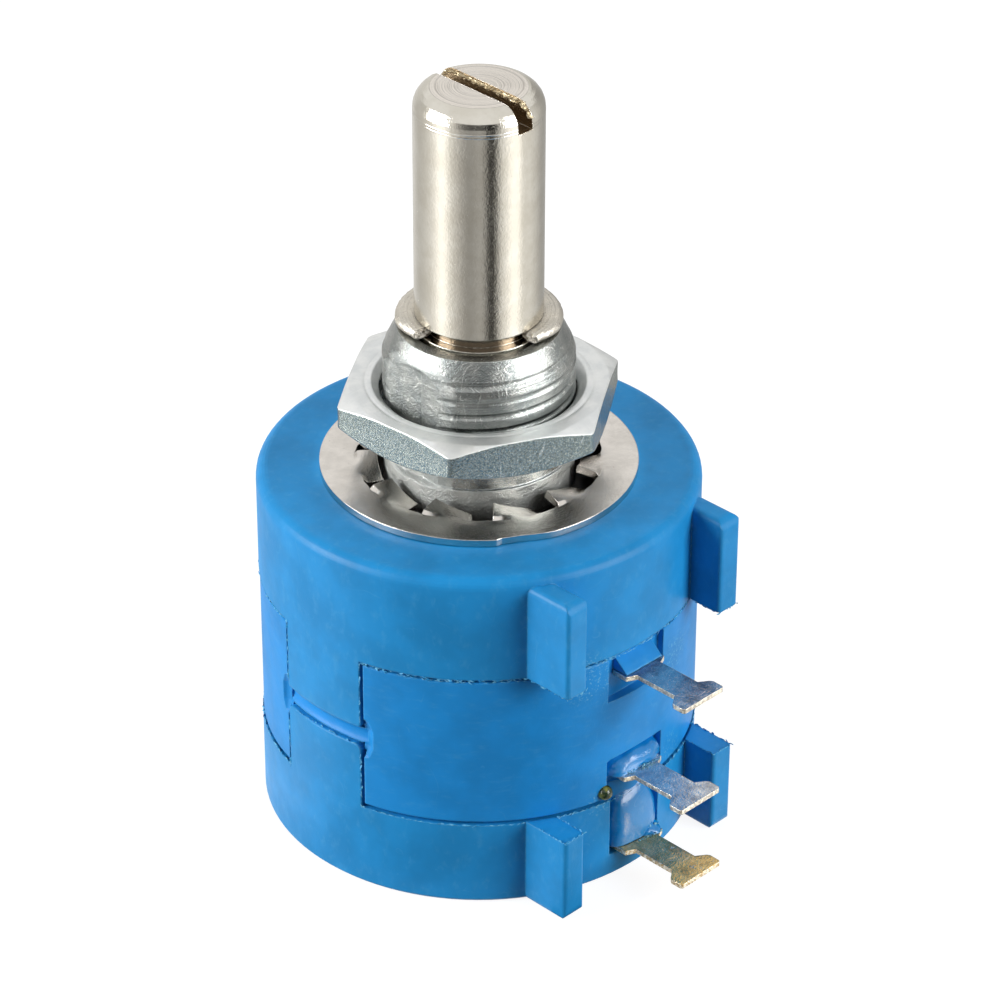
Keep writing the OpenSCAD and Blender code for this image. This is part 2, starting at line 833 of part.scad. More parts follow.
module slip_ring_brush() {
    t = 0.14;
    slip_low = rotor_low + fit + slip_t;
    base_z = term_wiper - blade_t / 2 - fit - t / 2;
    y_out = seat_r + 5;
    y_bend = seat_r + 3.4;
    y_touch = floor_y + 0.8;
    top_z = slip_low + contact_gap + t / 2;
    rise = [for (i = [1:6]) let (s = i / 6)
        [-y_bend + (y_bend - y_touch) * s, -base_z + (base_z - top_z) * sin(90 * s)]];
    path = concat([[-y_out, -base_z], [-y_bend - 0.2, -base_z]], rise,
                  [[-y_touch + 0.4, -top_z - 0.12]]);
    color("gold")
        difference() {
            across_x(2.2, strip_outline(path, t));
            translate([-0.25, -y_bend - 0.3, -floor_z])
                cube([0.5, 4, floor_z]);
        }
}

module thrust_washer() {
    color("white")
        tube(shaft_r + bearing_gap, shaft_r + 1.1, -stack_z - fit - thrust_t, -stack_z - fit);
}

module rear_bearing() {
    color("darkgoldenrod")
        tube(tail_r + bearing_gap, seat_r, -bearing_low, -bearing_top);
}

module sealing_bead() {
    r = 0.4;
    x = -2.05;
    color("olive")
        difference() {
            translate([x, -sqrt(pow(panel_r, 2) - pow(x, 2)), -panel_low + r + 0.05])
                sphere(r = r, $fn = 32);
            translate([0, 0, -body_len])
                cylinder(r = panel_r + fit / 2, h = body_len);
        }
}

front_cover();
rear_cover();
coil_housing();
bushing();
shaft();
retaining_ring();
mounting_nut();
lock_washer();
terminal_ccw();
terminal_cw();
terminal_wiper();
resistance_element();
rotor();
collector_strip();
slip_ring();
wiper_carriage();
element_wiper();
collector_wiper();
slip_ring_brush();
thrust_washer();
rear_bearing();
sealing_bead();
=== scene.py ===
# %% [markdown]
# # Ten-turn potentiometer
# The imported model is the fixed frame: every piece is in metres, in one shared space, with the
# origin at the centre of the mounting face and +Z up the shaft. The looks are built round it.

# %% Load the frame
import math
import random

import bmesh
import bpy
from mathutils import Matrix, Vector, noise


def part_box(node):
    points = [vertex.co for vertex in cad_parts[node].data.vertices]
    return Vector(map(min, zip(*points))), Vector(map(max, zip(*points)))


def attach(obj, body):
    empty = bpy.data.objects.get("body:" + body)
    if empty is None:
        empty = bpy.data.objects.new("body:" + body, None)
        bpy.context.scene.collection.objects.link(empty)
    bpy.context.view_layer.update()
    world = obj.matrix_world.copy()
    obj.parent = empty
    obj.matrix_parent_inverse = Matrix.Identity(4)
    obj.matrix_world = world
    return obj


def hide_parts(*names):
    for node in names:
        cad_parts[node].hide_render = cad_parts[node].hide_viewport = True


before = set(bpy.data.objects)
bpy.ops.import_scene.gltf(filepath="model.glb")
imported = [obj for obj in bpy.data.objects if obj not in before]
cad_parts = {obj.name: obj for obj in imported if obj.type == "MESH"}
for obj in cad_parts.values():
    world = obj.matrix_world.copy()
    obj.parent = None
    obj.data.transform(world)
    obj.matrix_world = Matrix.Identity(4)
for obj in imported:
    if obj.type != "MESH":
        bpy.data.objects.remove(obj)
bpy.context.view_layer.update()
scene = bpy.context.scene
MM = 0.001

# %% [markdown]
# Sizes come from the frame's own boxes, so a piece made here follows the part when it changes.
# Everything below is written in millimetres and scaled once, when a mesh is made.

# %% Read the sizes
def box_mm(node):
    low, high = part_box(node)
    return low / MM, high / MM


shaft_high = box_mm("shaft")[1]
bushing_low, bushing_high = box_mm("bushing")
ring_low, ring_high = box_mm("retaining_ring")
nut_low, nut_high = box_mm("mounting_nut")

BODY_R = box_mm("front_cover")[1].x
SHAFT_R = shaft_high.x
SHAFT_TOP = shaft_high.z
BUSHING_TOP = bushing_high.z
FLANGE_R = bushing_high.x
FLANGE_FLAT = bushing_high.y
BACK_Z = box_mm("rear_cover")[0].z
print("radius", round(BODY_R, 2), "shaft top", round(SHAFT_TOP, 2), "back", round(BACK_Z, 2))

# %% [markdown]
# A node tree is easier to read when adding a node and joining it take one line. `Wiring` does
# that for materials and groups: a value that is a socket becomes a link, and a plain value is
# set on the socket. Sums that every finish needs, such as `times` and `flip`, have a short name.

# %% Short ways to write node trees
class Wiring:
    def __init__(self, tree):
        self.tree = tree

    def feed(self, socket, value):
        if isinstance(value, bpy.types.NodeSocket):
            self.tree.links.new(value, socket)
        elif socket.type == "RGBA":
            socket.default_value = (*value[:3], 1)
        else:
            socket.default_value = value

    def add(self, kind, inputs=None, **settings):
        node = self.tree.nodes.new(kind)
        for key, value in settings.items():
            setattr(node, key, value)
        for key, value in (inputs or {}).items():
            self.feed(node.inputs[key], value)
        return node

    def calc(self, operation, *values, clamp=False):
        node = self.add("ShaderNodeMath", operation=operation, use_clamp=clamp)
        for socket, value in zip(node.inputs, values):
            self.feed(socket, value)
        return node.outputs[0]

    def times(self, a, b, clamp=False):
        return self.calc("MULTIPLY", a, b, clamp=clamp)

    def plus(self, a, b):
        return self.calc("ADD", a, b)

    def flip(self, value, clamp=False):
        return self.calc("SUBTRACT", 1.0, value, clamp=clamp)

    def unsigned(self, value):
        return self.calc("ABSOLUTE", value)

    def below(self, value, limit):
        return self.calc("LESS_THAN", value, limit)

    def above(self, value, limit):
        return self.calc("GREATER_THAN", value, limit)

    def mix(self, factor, a, b):
        node = self.add("ShaderNodeMix", {0: factor, 6: a, 7: b}, data_type="RGBA")
        return node.outputs[2]

    def remap(self, kind, *values):
        node = self.add("ShaderNodeMapRange", dict(enumerate(values)), interpolation_type=kind)
        return node.outputs[0]

    def step(self, value, low, high):
        return self.remap("SMOOTHSTEP", value, low, high, 0.0, 1.0)

    def between(self, value, low, high):
        return self.remap("LINEAR", value, 0.0, 1.0, low, high)

    def split(self, vector):
        return self.add("ShaderNodeSeparateXYZ", {0: vector}).outputs

    def clouds(self, place, scale, detail=2.0, rough=0.5, stretch=None):
        if stretch:
            place = self.add("ShaderNodeMapping", {"Vector": place, "Scale": stretch}).outputs[0]
        return self.add("ShaderNodeTexNoise",
                        {"Vector": place, "Scale": scale, "Detail": detail,
                         "Roughness": rough}).outputs[0]

    def streaks(self, value):
        """Noise along one value only."""
        return self.add("ShaderNodeTexNoise",
                        {"W": value, "Scale": 1.0, "Detail": 3.0, "Roughness": 0.7},
                        noise_dimensions="1D").outputs[0]

    def group(self, tree, **inputs):
        node = self.add("ShaderNodeGroup", node_tree=tree)
        for key, value in inputs.items():
            self.feed(node.inputs[key.replace("_", " ")], value)
        return node.outputs


def new_group(name, inputs, outputs):
    """A shader group. Each input has its usual value, or None where it is a place."""
    tree = bpy.data.node_groups.new(name, "ShaderNodeTree")
    for label, value in inputs.items():
        kind = "NodeSocketVector" if value is None else "NodeSocketFloat"
        socket = tree.interface.new_socket(label, in_out="INPUT", socket_type=kind)
        if value is not None:
            socket.default_value = value
    for label, kind in outputs.items():
        tree.interface.new_socket(label, in_out="OUTPUT", socket_type="NodeSocket" + kind)
    wires = Wiring(tree)
    return tree, wires, wires.add("NodeGroupInput").outputs, wires.add("NodeGroupOutput").inputs


# %% [markdown]
# ## Effects that several finishes share
# Object coordinates are in metres, so a group first turns them into millimetres: a scale of 5
# then means five features to the millimetre. It also gives the distance from the shaft's axis,
# which turned marks follow.

# %% Millimetre coordinates
place_group, w, given, out = new_group(
    "Place in millimetres", {}, {"Place": "Vector", "Radius": "Float", "Height": "Float"})
coord = w.add("ShaderNodeTexCoord").outputs["Object"]
scaled = w.add("ShaderNodeVectorMath", {0: coord, "Scale": 1 / MM}, operation="SCALE")
parts = w.split(scaled.outputs[0])
flat = w.add("ShaderNodeCombineXYZ", {0: parts[0], 1: parts[1]}).outputs[0]
w.feed(out["Place"], scaled.outputs[0])
w.feed(out["Radius"], w.add("ShaderNodeVectorMath", {0: flat},
                            operation="LENGTH").outputs["Value"])
w.feed(out["Height"], parts[2])

# %% [markdown]
# Handling leaves thin lines. The line where a smooth noise crosses its middle value is thin and
# wanders like a scratch, and a second, larger noise breaks it into short lengths.

# %% Scratches
scratch_group, w, given, out = new_group(
    "Scratches", {"Place": None, "Scale": 1.5, "Width": 0.006, "Amount": 0.5}, {"Mask": "Float"})
lines = []
for seed, stretch in ((0.0, (1.0, 0.22, 0.5)), (17.0, (0.25, 1.0, 0.8)), (41.0, (0.6, 0.7, 0.16))):
    moved = w.add("ShaderNodeMapping",
                  {"Vector": given["Place"], "Location": (seed, seed, 0),
                   "Rotation": (0.3, 0.2, seed), "Scale": stretch}).outputs[0]
    wave = w.clouds(moved, given["Scale"], 1.0, 0.4)
    off = w.unsigned(w.calc("SUBTRACT", wave, 0.5))
    line = w.flip(w.calc("DIVIDE", off, given["Width"]), clamp=True)
    gate = w.clouds(moved, w.times(given["Scale"], 1.7), 1.0, 0.5)
    lines.append(w.times(line, w.step(gate, 0.56, 0.66)))
total = w.calc("MAXIMUM", w.calc("MAXIMUM", lines[0], lines[1]), lines[2])
w.feed(out["Mask"], w.times(total, given["Amount"], clamp=True))

# %% [markdown]
# Dust, pits and bright flecks are small separate dots. A Voronoi pattern gives each cell a random
# colour, so only some of the cells get a dot.

# %% Specks
speck_group, w, given, out = new_group(
    "Specks", {"Place": None, "Scale": 4.0, "Size": 0.16, "Share": 0.2}, {"Mask": "Float"})
cell = w.add("ShaderNodeTexVoronoi", {"Vector": given["Place"], "Scale": given["Scale"]})
chance = w.add("ShaderNodeSeparateColor", {0: cell.outputs["Color"]}).outputs
inside = w.below(chance[0], given["Share"])
size = w.times(given["Size"], w.between(chance[1], 0.35, 1.0))
dot = w.flip(w.calc("DIVIDE", cell.outputs["Distance"], size), clamp=True)
w.feed(out["Mask"], w.times(w.step(dot, 0.0, 0.6), inside))

# %% [markdown]
# Worn or sheared edges catch the light. The Bevel node gives the normal of a softly rounded edge;
# where it differs from the surface's own normal there is an edge, and a noise makes it uneven.

# %% Edge wear
edge_group, w, given, out = new_group(
    "Edge wear", {"Place": None, "Width": 0.1, "Breakup": 3.0, "Amount": 1.0},
    {"Mask": "Float", "Normal": "Vector"})
radius = w.times(given["Width"], MM)
soft = w.add("ShaderNodeBevel", {"Radius": radius}, samples=6).outputs[0]
own = w.add("ShaderNodeNewGeometry").outputs["Normal"]
same = w.add("ShaderNodeVectorMath", {0: soft, 1: own}, operation="DOT_PRODUCT").outputs["Value"]
edge = w.step(w.flip(same), 0.03, 0.22)
patchy = w.step(w.clouds(given["Place"], given["Breakup"], 3.0, 0.6), 0.38, 0.62)
worn = w.times(edge, patchy)
w.feed(out["Mask"], w.times(worn, given["Amount"], clamp=True))
w.feed(out["Normal"], soft)

# %% [markdown]
# A lathe leaves fine rings: grooves that depend on one coordinate only, the height on a turned
# wall or the radius on a faced end. A one-dimensional noise gives rings of uneven depth.

# %% Turned rings
ring_group, w, given, out = new_group(
    "Turned rings", {"Along": 0.0, "Per mm": 8.0, "Depth": 0.004}, {"Height": "Float"})
rings = w.streaks(w.times(given["Along"], given["Per mm"]))
w.feed(out["Height"], w.times(rings, given["Depth"]))

# %% [markdown]
# Fine grain is the texture of the mould or the casting: two noises, one about three times finer
# than the other.

# %% Grain
grain_group, w, given, out = new_group(
    "Grain", {"Place": None, "Per mm": 6.0, "Depth": 0.004}, {"Height": "Float"})
coarse = w.clouds(given["Place"], given["Per mm"], 2.0, 0.6)
fine = w.clouds(given["Place"], w.times(given["Per mm"], 3.1), 1.0, 0.5)
both = w.plus(w.times(coarse, 0.65), w.times(fine, 0.35))
w.feed(out["Height"], w.times(both, given["Depth"]))
print("shared groups:", len(bpy.data.node_groups))

# %% [markdown]
# ## Finishes
# Each material starts from one Principled shader. `Finish` gives it the place in millimetres and
# the shared effects. `relief` adds up the surface's heights, which are in millimetres because the
# Bump node's distance is one, and `done` joins the colour and the roughness.

# %% Start a finish
class Finish(Wiring):
    def __init__(self, name, **plain):
        self.material = bpy.data.materials.new(name)
        self.material.use_nodes = True
        super().__init__(self.material.node_tree)
        self.shader = self.tree.nodes["Principled BSDF"]
        for key, value in plain.items():
            self.feed(self.shader.inputs[key.replace("_", " ")], value)
        place = self.group(place_group)
        self.place, self.radius, self.height = place["Place"], place["Radius"], place["Height"]

    def mottle(self, scale, detail=3.0, rough=0.6, stretch=None):
        """Cloudy noise, with so many clouds to the millimetre."""
        return self.clouds(self.place, scale, detail, rough, stretch)

    def patches(self, scale, low, high, detail=3.0, rough=0.6, stretch=None):
        """A mask of soft patches, where that noise lies between two values."""
        return self.step(self.mottle(scale, detail, rough, stretch), low, high)

    def upright(self, limit):
        """A mask of the faces that stand upright, such as a nut's sides or a sheared edge."""
        normal = self.add("ShaderNodeNewGeometry").outputs["Normal"]
        return self.below(self.unsigned(self.split(normal)[2]), limit)

    def scratches(self, scale, width, amount):
        return self.group(scratch_group, Place=self.place, Scale=scale, Width=width,
                          Amount=amount)["Mask"]

    def specks(self, scale, size, share):
        return self.group(speck_group, Place=self.place, Scale=scale, Size=size,
                          Share=share)["Mask"]

    def edges(self, width, breakup, amount):
        outs = self.group(edge_group, Place=self.place, Width=width, Breakup=breakup,
                          Amount=amount)
        return outs["Mask"], outs["Normal"]

    def handled(self, tone, bright, wear, marks):
        """The tone with bright metal where edges are worn and handling has left lines."""
        worn, rounded = self.edges(*wear)
        return self.mix(self.calc("MAXIMUM", worn, self.scratches(*marks)), tone, bright), rounded

    def grain(self, per_mm, depth):
        return self.group(grain_group, Place=self.place, Per_mm=per_mm, Depth=depth)["Height"]

    def rings(self, along, per_mm, depth):
        return self.group(ring_group, Along=along, Per_mm=per_mm, Depth=depth)["Height"]

    def relief(self, *heights, normal=None):
        total = heights[0]
        for height in heights[1:]:
            total = self.plus(total, height)
        bump = self.add("ShaderNodeBump", {"Height": total, "Distance": MM})
        if normal is not None:
            self.feed(bump.inputs["Normal"], normal)
        self.feed(self.shader.inputs["Normal"], bump.outputs[0])

    def done(self, colour, roughness):
        self.feed(self.shader.inputs["Base Color"], colour)
        self.feed(self.shader.inputs["Roughness"], roughness)
        return self.material


# %% [markdown]
# The housing is moulded from a tough blue plastic with a satin skin. Its colour drifts a little
# with the flow of the plastic, handling has left pale hair lines and specks, and every edge has a
# thin paler line where the mould's halves met or the skin is worn. Beside the terminals the skin
# is scuffed, from the tool that pushed them in. Inside the recess radius and below the mounting
# face the plastic is painted near-black, a painted shade that shows in the washer's notches.

# %% Blue moulded plastic
RECESS_R = 6.5
SCUFFED = [(-3.0, -10.7, -6.6, 1.7), (3.3, -10.6, -7.9, 1.3), (-2.4, -10.9, -14.2, 0.9),
           (3.0, -10.7, -13.4, 1.0)]


def blue_plastic(name, base, pale, streak, grain_depth, rough_low=0.33, gloss=0.22):
    f = Finish(name, Specular_IOR_Level=gloss)
    flow = f.mottle(0.35, 3.0, 0.55)
    drift = f.mix(f.step(flow, 0.3, 0.7), tuple(0.88 * c for c in base),
                  tuple(1.08 * c for c in base))
    fine = f.mottle(2.2, 4.0, 0.62, streak)
    drift = f.mix(f.times(f.step(fine, 0.5, 0.78), 0.16), drift, pale)
    worn, rounded = f.edges(0.11, 4.0, 0.75)
    lines = f.scratches(0.9, 0.004, 0.18)
    dust = f.specks(2.6, 0.055, 0.22)
    colour = f.mix(lines, drift, pale)
    colour = f.mix(f.times(dust, 0.55), colour, pale)
    colour = f.mix(worn, colour, pale)
    crumbs = f.patches(7.0, 0.55, 0.62, 4.0, 0.75)
    for x, y, z, reach in SCUFFED:
        away = f.add("ShaderNodeVectorMath", {0: f.place, 1: (x, y, z)},
                     operation="DISTANCE").outputs["Value"]
        near = f.flip(f.step(away, 0.5 * reach, 1.1 * reach))
        colour = f.mix(f.times(f.times(crumbs, near), 0.5), colour, (0.22, 0.58, 0.74))
    # Painted shade: blue plastic inside the recess radius and below the mounting face is painted
    # near-black, so the recess under the washer reads as deep shade.
    painted_recess_shade = f.times(f.below(f.radius, RECESS_R + 0.01), f.below(f.height, -0.04))
    colour = f.mix(painted_recess_shade, colour, (0.012, 0.009, 0.007))
    rough = f.between(f.mottle(1.3), rough_low, rough_low + 0.16)
    rough = f.plus(rough, f.times(lines, 0.15))
    cut = f.times(lines, -0.004)
    waves = f.times(f.mottle(0.8, 2.0, 0.5), 0.02)
    f.relief(f.grain(7.0, grain_depth), waves, cut, normal=rounded)
    return f.done(colour, rough)


cover_blue = blue_plastic("cover plastic", (0.014, 0.270, 0.63), (0.14, 0.47, 0.74),
                          (1.0, 1.0, 0.6), 0.006)
panel_blue = blue_plastic("housing plastic", (0.012, 0.265, 0.68), (0.12, 0.44, 0.73),
                          (0.5, 0.5, 1.6), 0.008)
print("plastics:", cover_blue.name, panel_blue.name)

# %% [markdown]
# The shaft is turned brass with a nickel plate. The wall keeps very fine turned lines and a few
# pits, the faced end has clear rings, and two ridges stand where the tool left the bevel. The
# slot was cut after plating, so its walls are bare brass, and the groove under the ring has gone
# the colour of bronze.

# %% Nickel-plated shaft
SLOT_TURN = math.radians(89)
SLOT_W = 0.92
SLOT_DEPTH = 1.3
BEVEL_W = 0.95
BEVEL_H = 1.05
RIDGE_GAP = 0.08
RIDGE_W = 0.045
f = Finish("nickel shaft", Metallic=1.0)
turned = f.add("ShaderNodeMapping", {"Vector": f.place, "Rotation": (0, 0, -SLOT_TURN)}).outputs[0]
across = f.unsigned(f.split(turned)[1])
in_slot = f.times(f.below(across, SLOT_W / 2 + 0.015),
                  f.above(f.height, SHAFT_TOP - SLOT_DEPTH - 0.02))
in_groove = f.times(f.below(f.radius, SHAFT_R - 0.06), f.below(f.height, BUSHING_TOP + 1.2))
on_top = f.above(f.height, SHAFT_TOP - 0.02)
plate = f.mix(f.patches(0.7, 0.35, 0.7), (0.63, 0.595, 0.52), (0.70, 0.67, 0.60))
pits = f.specks(3.4, 0.12, 0.22)
pepper = f.specks(9.0, 0.3, 0.4)
turned_tone = f.streaks(f.times(f.radius, 6.5))
faced = f.times(f.step(turned_tone, 0.52, 0.68), on_top)
# Painted highlight: the faced end is painted a paler, pinkish silver than the wall, for the bright
# room it reflects.
plate = f.mix(f.times(on_top, 0.8), plate, (0.80, 0.745, 0.68))
plate = f.mix(f.times(faced, 0.45), plate, (0.47, 0.43, 0.39))
plate = f.mix(f.times(pits, 0.5), plate, (0.30, 0.25, 0.17))
plate = f.mix(f.times(pepper, 0.18), plate, (0.42, 0.38, 0.31))
brass = f.mix(f.mottle(3.0, 3.0, 0.7, (1.0, 1.0, 3.0)), (0.13, 0.09, 0.05), (0.42, 0.32, 0.20))
bronze = f.mix(f.mottle(2.0, 3.0, 0.7), (0.17, 0.14, 0.11), (0.42, 0.37, 0.30))
colour = f.mix(in_groove, f.mix(in_slot, plate, brass), bronze)
worn, rounded = f.edges(0.08, 6.0, 0.8)
colour = f.mix(worn, colour, (0.82, 0.80, 0.72))
rough = f.between(f.mottle(5.0), 0.07, 0.15)
rough = f.plus(rough, f.times(in_slot, 0.22))
end_rings = f.times(f.rings(f.radius, 6.5, 0.060), on_top)
wall_rings = f.rings(f.height, 9.0, 0.0022)
low_bevel = f.unsigned(f.calc("SUBTRACT", f.height, SHAFT_TOP - BEVEL_H - RIDGE_GAP))
from_ridge = f.unsigned(f.calc("SUBTRACT", low_bevel, RIDGE_GAP))
ridges = f.flip(f.step(from_ridge, 0.0, RIDGE_W))
torn = f.times(f.mottle(4.0, 3.0, 0.7, (1.0, 1.0, 2.5)), f.times(in_slot, 0.05))
f.relief(end_rings, wall_rings, f.grain(7.0, 0.013), f.times(pits, -0.008), f.times(ridges, 0.014),
         torn, normal=rounded)
nickel_shaft = f.done(colour, rough)

# %% [markdown]
# The bushing is cast in zinc and plated grey. It is smooth where a tool has passed, on the top
# cone and the relief under the thread, and coarse where the casting was left: low on the neck and
# on the two parting flats. Bright flecks on the coarse skin are painted glints, and the low neck
# is painted paler, a painted light where the shade between nut and washer falls. The mask for the
# coarse skin comes from the place.

# %% Cast bushing
CAST_TOP = 1.1
PARTING_X = 4.25
f = Finish("cast bushing", Metallic=1.0)
side = f.unsigned(f.split(f.place)[0])
on_flat = f.times(f.step(side, PARTING_X - 0.35, PARTING_X), f.flip(f.step(f.height, 6.9, 7.5)))
low_neck = f.flip(f.step(f.height, CAST_TOP - 0.1, CAST_TOP + 0.05))
raw = f.calc("MAXIMUM", on_flat, low_neck)
skin = f.mix(f.patches(1.2, 0.3, 0.7, 4.0, 0.6), (0.24, 0.26, 0.255), (0.36, 0.37, 0.355))
# Painted glints: bright flecks on the coarse casting.
painted_glints = f.specks(8.0, 0.3, 0.5)
skin = f.mix(f.times(f.times(painted_glints, raw), 0.8), skin, (0.78, 0.78, 0.76))
skin, rounded = f.handled(skin, (0.80, 0.80, 0.77), (0.07, 7.0, 0.7), (1.6, 0.012, 0.6))
rough = f.plus(f.between(f.mottle(6.0), 0.17, 0.32), f.times(raw, 0.1))
# Painted light: the low neck, in the shade between nut and washer, is painted paler.
skin = f.mix(f.times(low_neck, 0.35), skin, (0.62, 0.63, 0.60))
f.feed(f.shader.inputs["Metallic"], f.between(low_neck, 1.0, 0.6))
coarse = f.times(f.grain(11.0, 0.085), on_flat)
pitted = f.times(f.grain(5.0, 0.07), low_neck)
f.relief(coarse, pitted, f.grain(12.0, 0.026), f.rings(f.height, 7.0, 0.008), normal=rounded)
cast_bushing = f.done(skin, rough)

# %% [markdown]
# The nut is steel with a bright plate. Its top was faced and burnished to a soft white, while the
# six side faces keep the drawn bar's speckled, greenish skin, which is smooth enough to mirror
# the blue housing below.

# %% Plated nut
f = Finish("plated nut", Metallic=0.9)
side_face = f.upright(0.3)
plate = f.mix(f.patches(0.9, 0.3, 0.7), (0.68, 0.70, 0.70), (0.80, 0.81, 0.80))
speckle = f.patches(13.0, 0.42, 0.64, 4.0, 0.8)
drawn = f.mix(speckle, (0.20, 0.25, 0.25), (0.44, 0.48, 0.45))
colour = f.mix(side_face, plate, drawn)
colour, rounded = f.handled(colour, (0.84, 0.85, 0.84), (0.13, 5.0, 0.9), (1.1, 0.008, 0.4))
rough = f.calc("SUBTRACT", f.between(f.mottle(3.0), 0.34, 0.50), f.times(side_face, 0.25))
f.relief(f.rings(f.radius, 5.0, 0.006), f.times(speckle, f.times(side_face, 0.004)),
         f.grain(12.0, 0.004), normal=rounded)
plated_nut = f.done(colour, rough)

# %% [markdown]
# The washer and the retaining ring are spring steel. The faces are a warm, slightly smoky
# silver with a few brown flecks, and the sheared edges are brighter and torn.

# %% Spring steel
def spring_steel(name, base, warm, wear, ridge, grain, rough_low):
    f = Finish(name, Metallic=1.0)
    tone = f.mix(f.patches(0.6, 0.3, 0.72), base, warm)
    flecks = f.specks(5.0, 0.2, 0.14)
    tone = f.mix(f.times(flecks, 0.7), tone, (0.23, 0.10, 0.05))
    tone, rounded = f.handled(tone, (0.86, 0.84, 0.80), (0.06, 8.0, wear), (1.3, 0.008, 0.5))
    rough = f.between(f.mottle(4.0), rough_low, rough_low + 0.14)
    f.relief(f.grain(9.0, grain), f.rings(f.radius, 7.0, ridge), normal=rounded)
    return f.done(tone, rough)


washer_steel = spring_steel("washer steel", (0.60, 0.565, 0.52), (0.74, 0.70, 0.65), 0.9, 0.004,
                            0.014, 0.09)
ring_steel = spring_steel("ring steel", (0.55, 0.52, 0.46), (0.72, 0.67, 0.58), 0.8, 0.05,
                          0.045, 0.22)

# %% [markdown]
# The solder terminals are stamped from brass strip. The upper two were tinned afterwards; all
# three show the warm brass on their sheared edges. A face whose normal points along Z is the
# strip's own surface, and any other is a sheared edge.

# %% Terminal strip
def terminal_strip(name, face, shade, edge, tip_glow):
    f = Finish(name, Metallic=0.9)
    sheared = f.upright(0.5)
    tone = f.mix(f.patches(1.6, 0.32, 0.68, 4.0, 0.65), face, shade)
    reach = f.times(f.split(f.place)[1], -1.0)
    tip = f.step(reach, BODY_R + 2.6, BODY_R + 3.6)
    tone = f.mix(f.times(tip, tip_glow), tone, (0.86, 0.56, 0.20))
    pits = f.specks(4.0, 0.22, 0.2)
    tone = f.mix(f.times(pits, 0.45), tone, (0.16, 0.13, 0.11))
    stain = f.patches(1.7, 0.44, 0.70, 5.0, 0.7, (1.0, 0.5, 1.0))
    tone = f.mix(f.times(stain, 0.5), tone, tuple(0.3 * c for c in face))
    lines = f.scratches(2.4, 0.012, 0.6)
    tone = f.mix(lines, tone, (0.92, 0.91, 0.88))
    rim = f.mix(f.patches(6.0, 0.40, 0.62), edge, (0.86, 0.80, 0.66))
    tone = f.mix(sheared, tone, rim)
    worn, rounded = f.edges(0.07, 6.0, 1.0)
    tone = f.mix(worn, tone, (0.94, 0.88, 0.74))
    rough = f.plus(f.between(f.mottle(5.0), 0.15, 0.32), f.times(sheared, 0.15))
    f.relief(f.grain(3.0, 0.030), f.grain(9.0, 0.012), f.times(lines, -0.008),
             f.times(f.mottle(8.0, 3.0, 0.7), f.times(sheared, 0.05)), normal=rounded)
    return f.done(tone, rough)


tinned = terminal_strip("tinned brass", (0.55, 0.56, 0.58), (0.80, 0.79, 0.76),
                        (0.44, 0.40, 0.34), 0.0)
bare_brass = terminal_strip("plain brass", (0.46, 0.33, 0.15), (0.72, 0.53, 0.28),
                            (0.50, 0.35, 0.16), 0.8)

# %% [markdown]
# A drop of sealing resin stands where the middle terminal's slot was filled. It is glassy and
# olive, with darker spots inside.

# %% Sealing resin
f = Finish("sealing resin", Transmission_Weight=0.25, IOR=1.5)
tone = f.mix(f.patches(3.0, 0.42, 0.62), (0.02, 0.05, 0.02), (0.34, 0.34, 0.06))
f.relief(f.grain(5.0, 0.01))
resin = f.done(tone, f.between(f.mottle(6.0, 2.0, 0.5), 0.08, 0.22))

# %% [markdown]
# The pieces inside are hidden, but someone may take the part to bits, so each has the finish of
# what it is made of: glass-filled plastic, precious-metal springs, the wound wire, porous bronze
# and a nylon washer.

# %% Finishes inside the housing
def inner_plastic(name, base, rough_low):
    f = Finish(name)
    fibre = f.mottle(3.0, 4.0, 0.7, (1.0, 1.0, 0.3))
    tone = f.mix(f.step(fibre, 0.35, 0.7), base, tuple(1.25 * c + 0.01 for c in base))
    f.relief(f.grain(6.0, 0.01))
    return f.done(tone, f.between(f.mottle(2.0, 2.0, 0.5), rough_low, rough_low + 0.2))


def inner_metal(name, base, along_z, per_mm, depth):
    f = Finish(name, Metallic=1.0)
    tone = f.mix(f.mottle(1.5), base, tuple(1.2 * c for c in base))
    along = f.height if along_z else f.radius
    f.relief(f.rings(along, per_mm, depth), f.grain(9.0, 0.003))
    return f.done(tone, f.between(f.mottle(4.0, 2.0, 0.5), 0.2, 0.38))


rotor_black = inner_plastic("rotor plastic", (0.030, 0.031, 0.033), 0.4)
carriage_ivory = inner_plastic("carriage plastic", (0.72, 0.68, 0.55), 0.35)
nylon = inner_plastic("washer nylon", (0.78, 0.78, 0.74), 0.3)
contact_gold = inner_metal("contact metal", (0.83, 0.62, 0.28), False, 6.0, 0.001)
wound_wire = inner_metal("wound wire", (0.60, 0.42, 0.26), True, 22.0, 0.02)
bronze_bearing = inner_metal("bearing bronze", (0.52, 0.33, 0.16), True, 12.0, 0.002)

# %% [markdown]
# A CAD node whose shape is right stays as it is and only gets its finish, by assigning to the
# material slots of its object.

# %% Give each node its finish
finishes = {
    "front_cover": cover_blue, "rear_cover": cover_blue, "coil_housing": panel_blue,
    "shaft": nickel_shaft, "retaining_ring": ring_steel, "mounting_nut": plated_nut,
    "lock_washer": washer_steel, "terminal_ccw": tinned, "terminal_cw": tinned,
    "terminal_wiper": bare_brass, "resistance_element": wound_wire, "rotor": rotor_black,
    "wiper_carriage": carriage_ivory, "collector_strip": contact_gold, "slip_ring": contact_gold,
    "element_wiper": contact_gold, "collector_wiper": contact_gold,
    "slip_ring_brush": contact_gold, "rear_bearing": bronze_bearing, "thrust_washer": nylon,
    "sealing_bead": resin, "bushing": cast_bushing,
}
for node, material in finishes.items():
    for material_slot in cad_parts[node].material_slots:
        material_slot.material = material
print("finished nodes:", len(finishes), "of", len(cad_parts))

